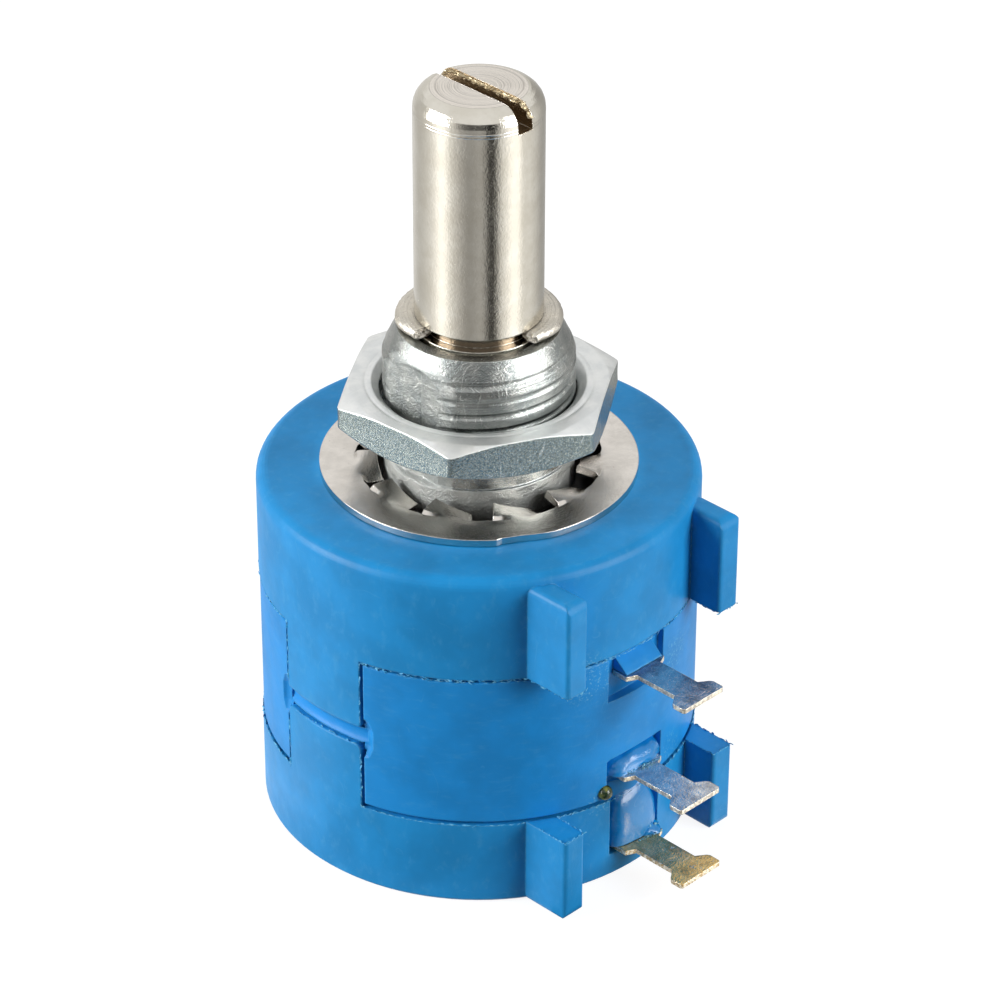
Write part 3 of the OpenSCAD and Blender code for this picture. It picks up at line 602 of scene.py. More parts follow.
# %% [markdown]
# ## Pieces
# A piece is a list of points in millimetres and the faces between them. `make_piece` turns it
# into an object at the origin, smooth-shaded up to an angle, gives it its material and parents it
# to an empty for the body that carries it.

# %% Make a piece
def add_object(name, data):
    thing = bpy.data.objects.new(name, data)
    scene.collection.objects.link(thing)
    return thing


def make_piece(name, points, faces, material, body, smooth=40):
    mesh = bpy.data.meshes.new(name)
    mesh.from_pydata([Vector(p) * MM for p in points], [], faces)
    mesh.validate()
    mesh.materials.append(material)
    tidy = bmesh.new()
    tidy.from_mesh(mesh)
    bmesh.ops.remove_doubles(tidy, verts=tidy.verts, dist=1e-7)
    bmesh.ops.recalc_face_normals(tidy, faces=tidy.faces)
    tidy.to_mesh(mesh)
    tidy.free()
    mesh.shade_smooth()
    mesh.set_sharp_from_angle(angle=math.radians(smooth))
    piece = add_object(name, mesh)
    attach(piece, body)
    print(name, len(mesh.polygons), "faces")
    return piece


def ring_of(count, shape):
    """One ring of points, where `shape` gives the radius and the height at each angle."""
    turns = [2 * math.pi * j / count for j in range(count)]
    return [(r * math.cos(a), r * math.sin(a), z) for a in turns for r, z in [shape(a)]]


def lathe_faces(rows, columns, closed=False):
    """Faces between rings of points, with the last ring joined to the first where closed."""
    faces = []
    for i in range(rows if closed else rows - 1):
        for j in range(columns):
            k = (j + 1) % columns
            a, b = i * columns, (i + 1) % rows * columns
            faces.append((a + j, a + k, b + k, b + j))
    return faces


# %% [markdown]
# The bushing's thread is too fine for the frame, so this piece stands for that node. It could be
# swept as a helix, but here the wall is a grid of heights and angles whose radius falls into a
# narrow groove that climbs one pitch a turn: the worn thread, the flats left by the mould's
# halves with their seam, and the rough casting then all come from one formula, and the skin
# closes by itself.

# %% Threaded bushing
PITCH = 25.4 / 32
THREAD_R = 4.7625
THREAD_DEPTH = 0.13
GROOVE_W = 0.15
GROOVE_Z = 6.81 + PITCH * 134 / 360
SEAM_TURN = math.radians(-175)
BORE_R = SHAFT_R + 0.04
RIM_R = 4.07
CONE = [(6.35, THREAD_R), (6.75, THREAD_R - 0.12), (7.2, THREAD_R - 0.33),
        (BUSHING_TOP, RIM_R)]
THREAD_FROM = (2.8, 3.1)
THREAD_TO = (6.95, 7.1)
CREST_OFF = 0.2
NECK_DEPTH = 0.10
FLANGE_TOP = -1.6
FLAT_X = 4.4
COLUMNS = 216
ROW_STEP = 0.045


def smooth_step(value, low, high):
    t = min(max((value - low) / (high - low), 0.0), 1.0)
    return t * t * (3 - 2 * t)


def along(knots, x):
    """The value at x on a line through the knots, which stays level beyond its ends."""
    if x <= knots[0][0]:
        return knots[0][1]
    for (x0, y0), (x1, y1) in zip(knots, knots[1:]):
        if x <= x1:
            return y0 + (y1 - y0) * (x - x0) / (x1 - x0)
    return knots[-1][1]


def flange_radius(angle):
    return min(FLANGE_R, FLANGE_FLAT / max(abs(math.sin(angle)), 1e-6))


def bushing_radius(angle, z):
    r = along(CONE, z)
    on_thread = smooth_step(z, *THREAD_FROM) * (1 - smooth_step(z, *THREAD_TO))
    turn = (z - GROOVE_Z) / PITCH - angle / (2 * math.pi)
    off = (turn - round(turn)) * PITCH
    worn = 0.45 + 0.9 * abs(noise.noise(Vector((2.2 * math.cos(angle), 2.2 * math.sin(angle), z))))
    r -= THREAD_DEPTH * worn * on_thread * math.exp(-(off / GROOVE_W) ** 2)
    r += 0.02 * on_thread * math.exp(-((abs(off) - CREST_OFF) / 0.05) ** 2)
    r -= NECK_DEPTH * smooth_step(z, CAST_TOP, CAST_TOP + 0.05) * (1 - smooth_step(z, 2.7, 2.9))
    flat = FLAT_X / max(abs(math.cos(angle)), 1e-6)
    spot = Vector((r * math.cos(angle), r * math.sin(angle), z))
    on_flat = smooth_step(r, flat - 0.02, flat + 0.1) * smooth_step(z, 0.9, 1.1)
    on_flat *= 1 - smooth_step(z, 6.9, 7.3)
    if on_flat > 0:
        r += (min(r, flat) - r) * on_flat
    raw = max(on_flat, 1 - smooth_step(z, CAST_TOP - 0.1, CAST_TOP + 0.05))
    r -= 0.05 * raw * abs(noise.noise(spot * 1.6)) + 0.03 * raw * abs(noise.noise(spot * 4.0))
    seam = (math.atan2(math.sin(angle - SEAM_TURN), math.cos(angle - SEAM_TURN)) * r / 0.05) ** 2
    return r - 0.05 * on_flat * math.exp(-seam)


heights = [ROW_STEP * i for i in range(int(BUSHING_TOP / ROW_STEP) + 1)] + [BUSHING_TOP]
points = []
for z in (bushing_low.z, FLANGE_TOP):
    points += ring_of(COLUMNS, lambda a: (flange_radius(a), z))
for z in [FLANGE_TOP] + heights:
    points += ring_of(COLUMNS, lambda a: (bushing_radius(a, max(z, 0.0)), z))
for r, z in ((BORE_R + 0.25, BUSHING_TOP), (BORE_R, BUSHING_TOP - 0.25), (BORE_R, bushing_low.z)):
    points += ring_of(COLUMNS, lambda a: (r, z))
rows = len(points) // COLUMNS
bushing = make_piece("threaded_bushing", points, lathe_faces(rows, COLUMNS, closed=True),
                     cast_bushing, "housing_set")
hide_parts("bushing")

# %% [markdown]
# The retaining ring is a thick spring wire, bent round the groove and cut off roughly. The piece
# sweeps a rounded section along the arc; near its ends the wire gets thinner, and the last
# sections shrink and scatter into a broken end. The CAD ring has the same arc and thickness.

# %% Retaining ring
RING_GAP = math.radians(100)
RING_TURN = math.radians(-139)
RING_IN = SHAFT_R - 0.45
RING_OUT = RING_IN + 1.38
SECTION = 22
ARC_STEPS = 150
random.seed(7)


def rounded(value, power=0.72):
    return math.copysign(abs(value) ** power, value)


arc_start = RING_TURN + RING_GAP / 2
arc_end = arc_start + 2 * math.pi - RING_GAP
ring_mid = (ring_low.z + ring_high.z) / 2
half_t = (ring_high.z - ring_low.z) / 2
stations = [(arc_start, 0.25, 0.05), (arc_start, 0.66, 0.035), (arc_start + 0.02, 0.93, 0.015)]
stations += [(arc_start + 0.05 + (arc_end - arc_start - 0.10) * i / ARC_STEPS, 1.0, 0.0)
             for i in range(ARC_STEPS + 1)]
stations += [(arc_end - 0.02, 0.93, 0.015), (arc_end, 0.66, 0.035), (arc_end, 0.25, 0.05)]
points = []
for a, grow, scatter in stations:
    to_end = min(a - arc_start, arc_end - a)
    thin = 1 - 0.26 * (1 - smooth_step(to_end, 0.0, 0.5))
    width = (RING_OUT - RING_IN) * thin
    middle = RING_IN + width / 2 + 0.02
    for k in range(SECTION):
        b = 2 * math.pi * k / SECTION
        lump = 1 - 0.09 * abs(noise.noise(Vector((14 * a, 2 * math.cos(b), 2 * math.sin(b)))))
        r = middle + width / 2 * grow * lump * rounded(math.cos(b))
        z = ring_mid + half_t * grow * (0.9 + 0.1 * thin) * lump * rounded(math.sin(b))
        lean = (0.03 if a < RING_TURN + math.pi else -0.03) * (scatter > 0)
        turn = a + random.uniform(-scatter, scatter) + lean
        points.append((r * math.cos(turn), r * math.sin(turn), z))
faces = lathe_faces(len(stations), SECTION)
faces.append(tuple(range(SECTION)))
faces.append(tuple(len(points) - 1 - k for k in range(SECTION)))
ring = make_piece("bent_retaining_ring", points, faces, ring_steel, "rotor_set",
                  50)
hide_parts("retaining_ring")

# %% [markdown]
# The lock washer is stamped from sheet and its teeth are twisted. The piece is built as a sheet
# first: rings of points from the notches to the rim, and rows of points down each tooth, which
# turn more and more towards the tip. `thicken` then gives the sheet two skins and closes its open
# edges. The rim is a little torn where the washer was cut from the strip.

# %% Toothed lock washer
def thicken(points, faces, thickness):
    """Two skins at half the thickness from a sheet, and a wall along each open edge."""
    normals = [Vector() for _ in points]
    sides = set()
    for face in faces:
        a, b, c, d = (Vector(points[i]) for i in face)
        up = (c - a).cross(d - b)
        for i, j in zip(face, face[1:] + face[:1]):
            normals[i] += up
            sides.add((i, j))
    count, half = len(points), thickness / 2
    shell = [Vector(p) + n.normalized() * half for p, n in zip(points, normals)]
    shell += [Vector(p) - n.normalized() * half for p, n in zip(points, normals)]
    solid = list(faces) + [tuple(i + count for i in reversed(face)) for face in faces]
    solid += [(j, i, i + count, j + count) for i, j in sides if (j, i) not in sides]
    return shell, solid


TEETH = 11
TWIST = math.radians(20)
TIP_R, ROOT_R = 5.04, 6.15
TOOTH_HALF = (1.24, 0.97)
TOOTH_SHARE = 0.352
FIRST_TOOTH = 0.54
TOOTH_COLUMNS, NOTCH_COLUMNS = 12, 4
TOOTH_ROWS = 6
WASHER_T = 0.37
RING_RADII = (ROOT_R, 6.28, 6.45, 6.65, 6.9, 7.2, 7.5, 7.75, 7.88)
WASHER_R = 7.93
TEAR = [(-180, 0), (-133, 0), (-130.5, 0.02), (-129.2, 0.04), (-127.5, -0.14), (-120, -0.22),
        (-114, -0.10), (-108, 0), (180, 0)]
washer_turn = math.radians(-135)
washer_off = Vector((0.18 * math.cos(washer_turn), 0.18 * math.sin(washer_turn)))


def sheet_wave(angle):
    return WASHER_T / 2 + 0.02 * (1 + math.sin(2 * angle + 0.6))


shares = [TOOTH_SHARE * (2 * i / TOOTH_COLUMNS - 1) for i in range(TOOTH_COLUMNS + 1)]
gap_share = 1 - 2 * TOOTH_SHARE
shares += [TOOTH_SHARE + gap_share * i / NOTCH_COLUMNS for i in range(1, NOTCH_COLUMNS)]
columns = [(tooth, share) for tooth in range(TEETH) for share in shares]
points = []
for r in RING_RADII + (WASHER_R,):
    for tooth, share in columns:
        a = washer_turn + 2 * math.pi * (tooth + FIRST_TOOTH + share) / TEETH
        turned = math.degrees(math.atan2(math.sin(a), math.cos(a)))
        edge = along(TEAR, turned) * smooth_step(r, 7.2, WASHER_R)
        edge -= 0.02 * abs(noise.noise(Vector((5 * math.cos(a), 5 * math.sin(a), 0)))) * (r > 7.9)
        lift = -0.04 * math.sin(2 * math.pi * share) * (1 - smooth_step(r, ROOT_R, 6.6))
        points.append(((r + edge) * math.cos(a), (r + edge) * math.sin(a), sheet_wave(a) + lift))
faces = [(a, d, c, b) for a, b, c, d in lathe_faces(len(RING_RADII) + 1, len(columns))]
for tooth in range(TEETH):
    centre = washer_turn + 2 * math.pi * (tooth + FIRST_TOOTH) / TEETH
    outer = [tooth * len(shares) + i for i in range(TOOTH_COLUMNS + 1)]
    for row in range(1, TOOTH_ROWS + 1):
        t = row / TOOTH_ROWS
        half = TOOTH_HALF[0] + (TOOTH_HALF[1] - TOOTH_HALF[0]) * t
        inner = []
        for i in range(TOOTH_COLUMNS + 1):
            s = half * shares[i] / TOOTH_SHARE
            arch = ROOT_R * (1 - math.cos(2 * math.pi * shares[i] / TEETH)) * (1 - 0.3 * t)
            x = ROOT_R - (ROOT_R - TIP_R) * t - arch
            twist = TWIST * (0.45 + 0.55 * t)
            y = s * math.cos(twist)
            z = sheet_wave(centre) - s * math.sin(twist)
            inner.append(len(points))
            points.append((x * math.cos(centre) - y * math.sin(centre),
                           x * math.sin(centre) + y * math.cos(centre), z))
        for i in range(TOOTH_COLUMNS):
            faces.append((inner[i], outer[i], outer[i + 1], inner[i + 1]))
        outer = inner
points = [(x + washer_off.x, y + washer_off.y, z) for x, y, z in points]
shell, solid = thicken(points, faces, WASHER_T)
washer = make_piece("toothed_washer", shell, solid, washer_steel, "housing_set",
                    18)
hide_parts("lock_washer")

# %% [markdown]
# The nut is a bar of six flats, turned at both ends: a cone cuts the corners, so each flat ends
# in an arc. One ring of points at a time gives the bore's thread, the countersink, the top with
# its turned line, the cone and the flats. The distance to a flat at each angle shapes the rings.

# %% Hexagon nut
NUT_APOTHEM = 6.35
NUT_CORNER = math.radians(-86)
NUT_BORE = THREAD_R + 0.05
NUT_CONE_R = 6.42
NUT_CONE_SLOPE = 0.36
NUT_FOOT_R = 6.15
FOOT_SLOPE = 0.577
CORNER_LIMIT = 0.508
LINE_R = 5.62
SINK_DEPTH = 0.42
SINK_SLOPE = 0.85
NUT_COLUMNS = 240
nut_t = nut_high.z - nut_low.z


def hexagon(angle):
    turned = (angle - NUT_CORNER) % (math.pi / 3) - math.pi / 6
    return NUT_APOTHEM / math.cos(max(-CORNER_LIMIT, min(CORNER_LIMIT, turned)))


def nut_ring(kind, value, angle):
    """One point of a ring: a radius and a height above the nut's foot."""
    flat = hexagon(angle)
    if kind == "bore":
        wave = 0.5 - 0.5 * math.cos(2 * math.pi * value / PITCH - angle)
        return NUT_BORE + 0.12 * wave, value
    if kind == "top":
        return min(flat - 0.03, value), nut_t - 0.03 * math.exp(-((value - LINE_R) / 0.05) ** 2)
    if kind == "sink":
        return NUT_BORE + value, nut_t - SINK_DEPTH + SINK_SLOPE * value
    if kind == "foot":
        return value, 0.0
    upper = nut_t - 0.02 - max(0.0, flat - NUT_CONE_R) * NUT_CONE_SLOPE
    lower = 0.02 + (flat - NUT_FOOT_R) * FOOT_SLOPE
    painted_recess_shade = 0.02 * math.sin(math.pi * value)
    return flat - painted_recess_shade, upper + (lower - upper) * value


rings = [("bore", 0.42 + 0.06 * i) for i in range(21)]
rings += [("sink", 0.12), ("sink", 0.30), ("sink", 0.42), ("sink", 0.494)]
rings += [("top", r) for r in (5.45, 5.56, 5.60, 5.62, 5.64, 5.68, 5.8, 6.1, 6.3, NUT_CONE_R)]
rings += [("side", t / 8) for t in range(9)]
rings += [("foot", NUT_FOOT_R), ("foot", NUT_BORE + 0.5), ("foot", NUT_BORE + 0.45)]
points = []
for kind, value in rings:
    points += ring_of(NUT_COLUMNS, lambda a: nut_ring(kind, value, a))
points = [(x, y, nut_low.z + z) for x, y, z in points]
nut = make_piece("hexagon_nut", points, lathe_faces(len(rings), NUT_COLUMNS, closed=True),
                 plated_nut, "nut_set", 22)
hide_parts("mounting_nut")

# %% [markdown]
# Hot tools pressed the plastic over the roots of the lower terminals. Each collar is a low dome
# whose back is buried in the housing and whose foot lies on the terminal, with a soft, uneven
# skin that shines where it melted.

# %% Melted collars
def dome(name, centre, size, corners, lumps, seed):
    rows, columns = 14, 48
    points = []
    for i in range(rows):
        u = math.pi / 2 * i / rows
        for j in range(columns):
            v = 2 * math.pi * j / columns
            out = Vector((size[0] * rounded(math.cos(u), 0.7) * rounded(math.cos(v), corners),
                          size[1] * rounded(math.cos(u), 0.7) * rounded(math.sin(v), 0.9),
                          size[2] * rounded(math.sin(u), 0.9)))
            shift = Vector((seed, 0, 0))
            grow = 1 + lumps * noise.noise(out * 1.3 + shift)
            grow += 0.3 * lumps * noise.noise(out * 4.0 + shift)
            points.append(Vector(centre) + out * grow)
    faces = lathe_faces(rows, columns)
    faces.append(tuple(range(columns)))
    top, last = len(points), len(points) - columns
    points.append(Vector(centre) + Vector((0, 0, size[2])))
    faces += [(last + j, last + (j + 1) % columns, top) for j in range(columns)]
    return make_piece(name, points, faces, melted_blue, "housing_set", 60)


melted_blue = blue_plastic("melted plastic", (0.003, 0.225, 0.58), (0.20, 0.50, 0.74),
                           (1.0, 1.0, 1.0), 0.012, 0.10, 0.55)
STRIP_HALF = 0.125
MIDDLE_TOP = -13 + STRIP_HALF
LOWER_TOP = -17.4 + STRIP_HALF
dome("middle_collar", (0.0, -10.35, MIDDLE_TOP - 0.03), (1.88, 1.12, 0.95), 0.55, 0.10, 3.0)
dome("lower_collar", (0.0, -10.2, LOWER_TOP + 0.02), (1.74, 1.24, 3.2), 0.5, 0.05, 8.0)
dome("lower_lump", (0.75, -11.0, LOWER_TOP - 0.02), (0.75, 0.80, 0.42), 0.9, 0.35, 12.0)

# %% [markdown]
# Where the mould's halves meet, thin flash hangs from the edges, and the cutter has left a burr
# along the shaft's slot. Such ragged edges follow a rule, so Geometry Nodes makes them: a track
# of points along the edge carries two directions, and a small wedge is set on every point that a
# noise lets through, with its own size and tilt. The same node group serves plastic and metal.

# %% Ragged edges as instances
def ragged_group():
    tree = bpy.data.node_groups.new("Ragged edge", "GeometryNodeTree")
    tree.is_modifier = True
    face = tree.interface
    face.new_socket("Geometry", in_out="INPUT", socket_type="NodeSocketGeometry")
    for label, kind in (("Length", "Float"), ("Reach", "Float"), ("Thickness", "Float"),
                        ("Share", "Float"), ("Seed", "Int"), ("Material", "Material")):
        face.new_socket(label, in_out="INPUT", socket_type="NodeSocket" + kind)
    face.new_socket("Geometry", in_out="OUTPUT", socket_type="NodeSocketGeometry")
    g = Wiring(tree)
    given = g.add("NodeGroupInput").outputs
    out = g.add("NodeGroupOutput").inputs
    wedge = g.add("GeometryNodeMeshCone", {"Vertices": 5, "Radius Top": 0.22, "Radius Bottom": 0.5,
                                           "Depth": 1.0}).outputs["Mesh"]
    track = {name: g.add("GeometryNodeInputNamedAttribute", {"Name": name},
                         data_type="FLOAT_VECTOR").outputs[0] for name in ("out", "along")}
    stand = g.add("FunctionNodeAxesToRotation", {"Primary Axis": track["out"],
                                                 "Secondary Axis": track["along"]},
                  primary_axis="Z", secondary_axis="X").outputs[0]

    def draw(low, high, shift):
        """A random number for each point, or a random vector when the limits are vectors."""
        kind, socket = ("FLOAT_VECTOR", 0) if isinstance(low, tuple) else ("FLOAT", 1)
        return g.add("FunctionNodeRandomValue", {
            "Min": low, "Max": high, "Seed": g.plus(given["Seed"], shift)},
            data_type=kind).outputs[socket]

    size = g.add("ShaderNodeCombineXYZ", {
        0: g.times(given["Length"], draw(0.5, 1.3, 1)),
        1: g.times(given["Thickness"], draw(0.6, 1.2, 2)),
        2: g.times(given["Reach"], draw(0.15, 1.0, 3))}).outputs[0]
    kept = g.below(draw(0.0, 1.0, 4), given["Share"])
    tilt = g.add("FunctionNodeEulerToRotation", {0: draw((-0.5,) * 3, (0.5,) * 3, 5)}).outputs[0]
    turned = g.add("FunctionNodeRotateRotation", {0: stand, 1: tilt},
                   rotation_space="LOCAL").outputs[0]
    placed = g.add("GeometryNodeInstanceOnPoints", {
        "Points": given["Geometry"], "Selection": kept, "Instance": wedge,
        "Rotation": turned, "Scale": size}).outputs[0]
    real = g.add("GeometryNodeRealizeInstances", {0: placed}).outputs[0]
    g.feed(out[0], g.add("GeometryNodeSetMaterial", {"Geometry": real,
                                                     "Material": given["Material"]}).outputs[0])
    return tree


RAGGED = ragged_group()
STEP = 0.16


def ragged_piece(name, tracks, material, body, seed, length, reach, thickness, share):
    """Wedges along tracks, each a list of (point, outward direction) in millimetres."""
    spots, outs, runs = [], [], []
    for track in tracks:
        for (p, n), (q, _) in zip(track, track[1:]):
            p, q = Vector(p), Vector(q)
            steps = max(1, round((q - p).length / STEP))
            for i in range(steps):
                spots.append((p + (q - p) * i / steps) * MM)
                outs.append(Vector(n).normalized())
                runs.append((q - p).normalized())
    mesh = bpy.data.meshes.new(name + "_track")
    mesh.from_pydata(spots, [], [])
    for label, values in (("out", outs), ("along", runs)):
        data = mesh.attributes.new(label, "FLOAT_VECTOR", "POINT").data
        for item, value in zip(data, values):
            item.vector = value
    host = add_object(name, mesh)
    grow = host.modifiers.new("ragged", "NODES")
    grow.node_group = RAGGED
    values = {"Length": length * MM, "Reach": reach * MM, "Thickness": thickness * MM,
              "Share": share, "Seed": seed, "Material": material}
    for socket in RAGGED.interface.items_tree:
        if socket.in_out == "INPUT" and socket.name in values:
            grow[socket.identifier] = values[socket.name]
    grown = bpy.data.meshes.new_from_object(host.evaluated_get(
        bpy.context.evaluated_depsgraph_get()))
    host.modifiers.clear()
    host.data = grown
    bpy.data.meshes.remove(mesh)
    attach(host, body)
    print(name, len(spots), "points,", len(grown.polygons), "faces")
    return host


# %% [markdown]
# The tracks follow the edges of the two covers: round both skirts, down the tongues and round
# the fins' parting edges. The burr of the slot hangs from the top of its wall and follows the
# bevel, never higher than the faced end.

# %% Flash and burr
FRONT_EDGE = -5.7
SEAM = 0.18
REAR_EDGE = BACK_Z + 4.7
TONGUE_HALF = 2.55
TONGUE_ENDS = (-9.75, -10.65)
FIN_X = (4.7, 6.05)
FIN_ROOTS = (-10.3, -9.5)
FIN_TIP = -BODY_R - 0.95 + 0.03


def thin_plastic(name, base, pale):
    """The plastic where it is too thin for the skin's grain and rounded edges."""
    f = Finish(name, Specular_IOR_Level=0.15)
    tone = f.mix(f.patches(5.0, 0.35, 0.65, 3.0, 0.7), base, pale)
    f.relief(f.grain(9.0, 0.004))
    return f.done(tone, f.between(f.mottle(3.0, 2.0, 0.5), 0.35, 0.55))


def on_rim(turn, z, sink=0.0):
    """A point on the housing's surface, or below it where flash would leave the part's box."""
    r = min(BODY_R, (BODY_R - 0.08) / max(abs(math.cos(turn)), math.sin(turn), 0.5)) - sink
    return (r * math.cos(turn), r * math.sin(turn), z)


def on_wall(y, z, side):
    x, y, z = on_rim(math.asin(y / BODY_R), z)
    return (side * x, y, z)


def skirt_tracks(sink, z, out_z):
    """The two arcs of a skirt's edge, which ends at the tongues on both sides."""
    steps, last = 110, math.acos(TONGUE_HALF / BODY_R)
    arcs = []
    for middle in (-math.pi / 2, math.pi / 2):
        turns = [middle + last * (2 * i / steps - 1) for i in range(steps + 1)]
        arcs.append([(on_rim(a, z, sink), (0, 0, out_z)) for a in turns])
    return arcs


tracks = skirt_tracks(0.005, FRONT_EDGE, -1) + skirt_tracks(0.005, REAR_EDGE, 1)
tracks += skirt_tracks(0.06, FRONT_EDGE - SEAM, 1)
for side in (-1, 1):
    for hand in (-1, 1):
        y = hand * TONGUE_HALF
        for z0, z1 in ((FRONT_EDGE, TONGUE_ENDS[0] + 0.3), (REAR_EDGE, TONGUE_ENDS[1] - 0.3)):
            tracks.append([(on_wall(y, z, side), (0, hand, 0)) for z in (z0, z1)])
    tracks.append([(on_wall(y / 10, TONGUE_ENDS[1], side), (0, 0, 1)) for y in range(-22, 23, 2)])
for hand in (-1, 1):
    for z, out_z in ((FRONT_EDGE, -1), (REAR_EDGE + 0.1, 1)):
        corners = [(hand * FIN_X[0], FIN_ROOTS[0]), (hand * FIN_X[0], FIN_TIP),
                   (hand * FIN_X[1], FIN_TIP), (hand * FIN_X[1], FIN_ROOTS[1])]
        tracks.append([((x, y, z), (0, 0, out_z)) for x, y in corners])
flash_blue = thin_plastic("flash plastic", (0.02, 0.30, 0.64), (0.19, 0.56, 0.80))
ragged_piece("moulding_flash", tracks, flash_blue, "housing_set", 3,
             0.32, 0.085, 0.035, 0.6)

crumb_blue = thin_plastic("crumb plastic", (0.02, 0.24, 0.45), (0.35, 0.68, 0.76))
crumb_rows = []
for x0, x1, y, z in ((-0.2, 1.3, -11.72, -17.25), (0.0, 1.4, -11.4, -17.0),
                     (-0.9, 0.9, -11.5, -12.82), (0.2, 1.2, -11.62, -12.8)):
    crumb_rows.append([((x0, y + 0.12, z), (0, -0.6, 1)), ((x1, y - 0.12, z), (0, -0.6, 1))])
ragged_piece("collar_crumbs", crumb_rows, crumb_blue, "housing_set", 5,
             0.16, 0.16, 0.10, 0.9)

slot_run = Vector((math.cos(SLOT_TURN), math.sin(SLOT_TURN), 0))
slot_side = Vector((math.sin(SLOT_TURN), -math.cos(SLOT_TURN), 0))


def shaft_end_height(r):
    inward = max(SHAFT_R - r, 0.0)
    if inward >= BEVEL_W:
        return SHAFT_TOP
    rise = math.asin(min(1.0, 1 - inward / BEVEL_W))
    return SHAFT_TOP - BEVEL_H * (1 - math.cos(rise))


track = []
for i in range(-30, 31):
    p = slot_run * (i * 0.1) + slot_side * (SLOT_W / 2)
    if p.length < SHAFT_R - 0.05:
        hang = tuple(-slot_side - Vector((0, 0, 0.5)))
        track.append(((p.x, p.y, shaft_end_height(p.length) - 0.135), hang))
f = Finish("torn brass", Metallic=1.0)
tone = f.mix(f.mottle(5.0, 3.0, 0.7), (0.20, 0.14, 0.07), (0.74, 0.64, 0.44))
f.relief(f.grain(9.0, 0.03))
torn_brass = f.done(tone, f.between(f.mottle(8.0, 2.0, 0.5), 0.25, 0.5))
ragged_piece("slot_burr", [track] * 3, torn_brass, "rotor_set", 11,
             0.42, 0.20, 0.11, 0.9)

# %% [markdown]
# ## Studio
# The camera stands front left of the terminals and looks down at the part, through a long lens,
# so the housing's sides stay almost parallel.

# %% Camera
AZIMUTH = math.radians(-45)
ELEVATION = math.radians(31.75)
DISTANCE = 0.2081
AIM_Z = -2.325
aim = Vector((0, 0, AIM_Z * MM))
back = Vector((math.sin(AZIMUTH) * math.cos(ELEVATION), -math.cos(AZIMUTH) * math.cos(ELEVATION),
               math.sin(ELEVATION)))
camera = add_object("camera", bpy.data.cameras.new("camera"))
camera.location = aim + back * DISTANCE
camera.rotation_euler = (-back).to_track_quat("-Z", "Y").to_euler()
camera.data.lens = 149.8
camera.data.sensor_width = 36
camera.data.shift_x = 0.021
camera.data.clip_start = 0.01
scene.camera = camera
scene.view_settings.view_transform = "Standard"

# %% [markdown]
# The floor is pale and plain, and keeps the part's soft shadow. Rays from the camera, and rays
# reflected by the metal, see it a little brighter than the lamps alone would make it, so it
# closes to white without more light on the part.

# %% Floor
HALF = 600
FLOOR_Z = BACK_Z - 0.01


def empty_material(name):
    """A material whose tree has only its output, with the socket that takes the shader."""
    material = bpy.data.materials.new(name)
    material.use_nodes = True
    nodes = material.node_tree.nodes
    nodes.remove(nodes["Principled BSDF"])
    return material, Wiring(material.node_tree), nodes["Material Output"].inputs[0]


def seen_by_eye_or_mirror(w):
    """A mask of the rays from the camera and of those that metal or resin sends on."""
    path = w.add("ShaderNodeLightPath").outputs
    sent_on = w.calc("MAXIMUM", path["Is Glossy Ray"], path["Is Transmission Ray"])
    return w.calc("MAXIMUM", path["Is Camera Ray"], sent_on)


corners = [(x * HALF, y * HALF, FLOOR_Z) for x, y in ((-1, -1), (1, -1), (1, 1), (-1, 1))]
floor_mesh = bpy.data.meshes.new("floor")
floor_mesh.from_pydata([Vector(c) * MM for c in corners], [], [(0, 1, 2, 3)])
floor = add_object("floor", floor_mesh)
paper, w, surface = empty_material("paper")
bright = w.times(seen_by_eye_or_mirror(w), 0.90)
matte = w.add("ShaderNodeBsdfDiffuse", {"Color": (0.22, 0.22, 0.22)}).outputs[0]
glow = w.add("ShaderNodeEmission", {"Color": (1, 1, 1), "Strength": bright}).outputs[0]
w.feed(surface, w.add("ShaderNodeAddShader", {0: matte, 1: glow}).outputs[0])
floor_mesh.materials.append(paper)

# %% [markdown]
# Polished metal shows the room more than its own colour, and needs light and dark in it to read
# as metal. White and grey cards round the part give it that: a ring of them lies on the floor and
# rises behind the camera. Only reflections see it, and each strip of it has its own brightness:
# two bright cards at the sides, greys between them, and one dark gap.

# %% Cards round the part
CARD_TONES = [
    (-180, 0.85), (-150, 0.80), (-128, 0.66), (-110, 0.74), (-92, 0.95), (-80, 1.30),
    (-72, 1.75), (-60, 1.65), (-51, 1.00), (-40, 0.76), (-30, 0.52), (-20, 0.38), (-8, 0.42),
    (2, 0.52), (10, 0.42), (15, 0.08), (25, 0.03), (31, 0.40), (38, 0.95), (48, 1.20),
    (57, 1.75), (71, 1.70), (78, 1.00), (100, 0.93), (114, 0.74), (130, 0.50), (148, 0.44),
    (164, 0.50), (180, 0.85),
]
CARD_STRIPS = 144
CARD_TURN = 135
FRONT_SHADE = 0.75
CARD_RINGS = ((12.5, BACK_Z + 0.02), (150, BACK_Z + 0.02), (420, BACK_Z + 30), (430, 205))


def wrapped(turn):
    """The same turn in degrees, from -180 up to 180."""
    return (turn + 180) % 360 - 180


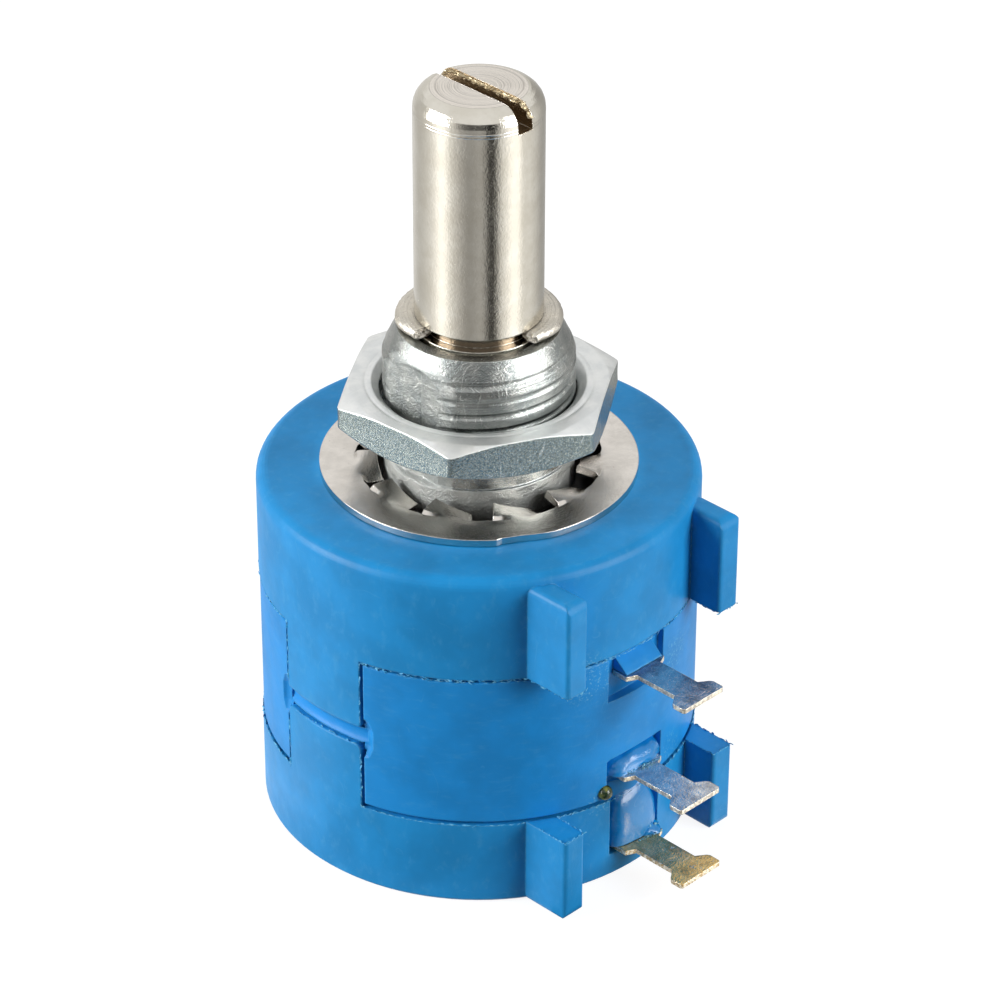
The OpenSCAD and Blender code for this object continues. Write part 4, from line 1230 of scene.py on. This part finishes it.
card_points = []
for r, z in CARD_RINGS:
    card_points += ring_of(CARD_STRIPS, lambda a: (r, z))
card_points = [(x * MM, y * MM, z * MM) for x, y, z in card_points]
card_faces = lathe_faces(len(CARD_RINGS), CARD_STRIPS)
cards_mesh = bpy.data.meshes.new("cards")
cards_mesh.from_pydata(card_points, [], card_faces)
tone_of = cards_mesh.attributes.new("tone", "FLOAT", "POINT")
for i in range(len(card_points)):
    turn = wrapped(360 * (i % CARD_STRIPS) / CARD_STRIPS + CARD_TURN)
    camera_side = 1 - smooth_step(abs(turn), 18, 48)
    shade = 1 - FRONT_SHADE * camera_side * (i // CARD_STRIPS >= 2)
    tone_of.data[i].value = along(CARD_TONES, turn) * shade
cards = add_object("cards", cards_mesh)
card_paper, w, surface = empty_material("card paper")
tone = w.add("ShaderNodeAttribute", attribute_name="tone").outputs["Fac"]
glow = w.add("ShaderNodeEmission", {"Color": (1.0, 0.99, 0.965), "Strength": tone})
w.feed(surface, glow.outputs[0])
cards_mesh.materials.append(card_paper)
cards.visible_camera = cards.visible_diffuse = cards.visible_shadow = False
cards.visible_transmission = False

# %% [markdown]
# The world is white for the camera and for reflections, and dimmer for everything else, where it
# is the studio's soft fill.

# %% World
world = bpy.data.worlds.new("studio")
scene.world = world
world.use_nodes = True
w = Wiring(world.node_tree)
ground = world.node_tree.nodes["Background"]
w.feed(ground.inputs["Color"], (1, 1, 1))
w.feed(ground.inputs["Strength"], w.between(seen_by_eye_or_mirror(w), 0.06, 1.0))

# %% [markdown]
# Three soft boxes light the part: the key from the camera's left and a weaker one from the
# right, which leaves the right side of the housing a step darker, and a faint one high behind,
# which lifts the faces that look up. Metal does not mirror that last one.

# %% Lamps
def soft_box(name, azimuth, elevation, distance, width, height, power):
    a, e = math.radians(azimuth), math.radians(elevation)
    away = Vector((math.sin(a) * math.cos(e), -math.cos(a) * math.cos(e), math.sin(e)))
    light = bpy.data.lights.new(name, "AREA")
    light.shape = "RECTANGLE"
    light.size, light.size_y = width * MM, height * MM
    light.energy = power
    lamp = add_object(name, light)
    lamp.location = away * distance * MM
    lamp.rotation_euler = away.to_track_quat("Z", "Y").to_euler()
    return lamp


soft_box("left box", -122, 18, 320, 200, 170, 1.26)
soft_box("right box", 20, 20, 320, 170, 180, 0.93)
soft_box("back box", 130, 46, 320, 260, 140, 0.34).visible_glossy = False
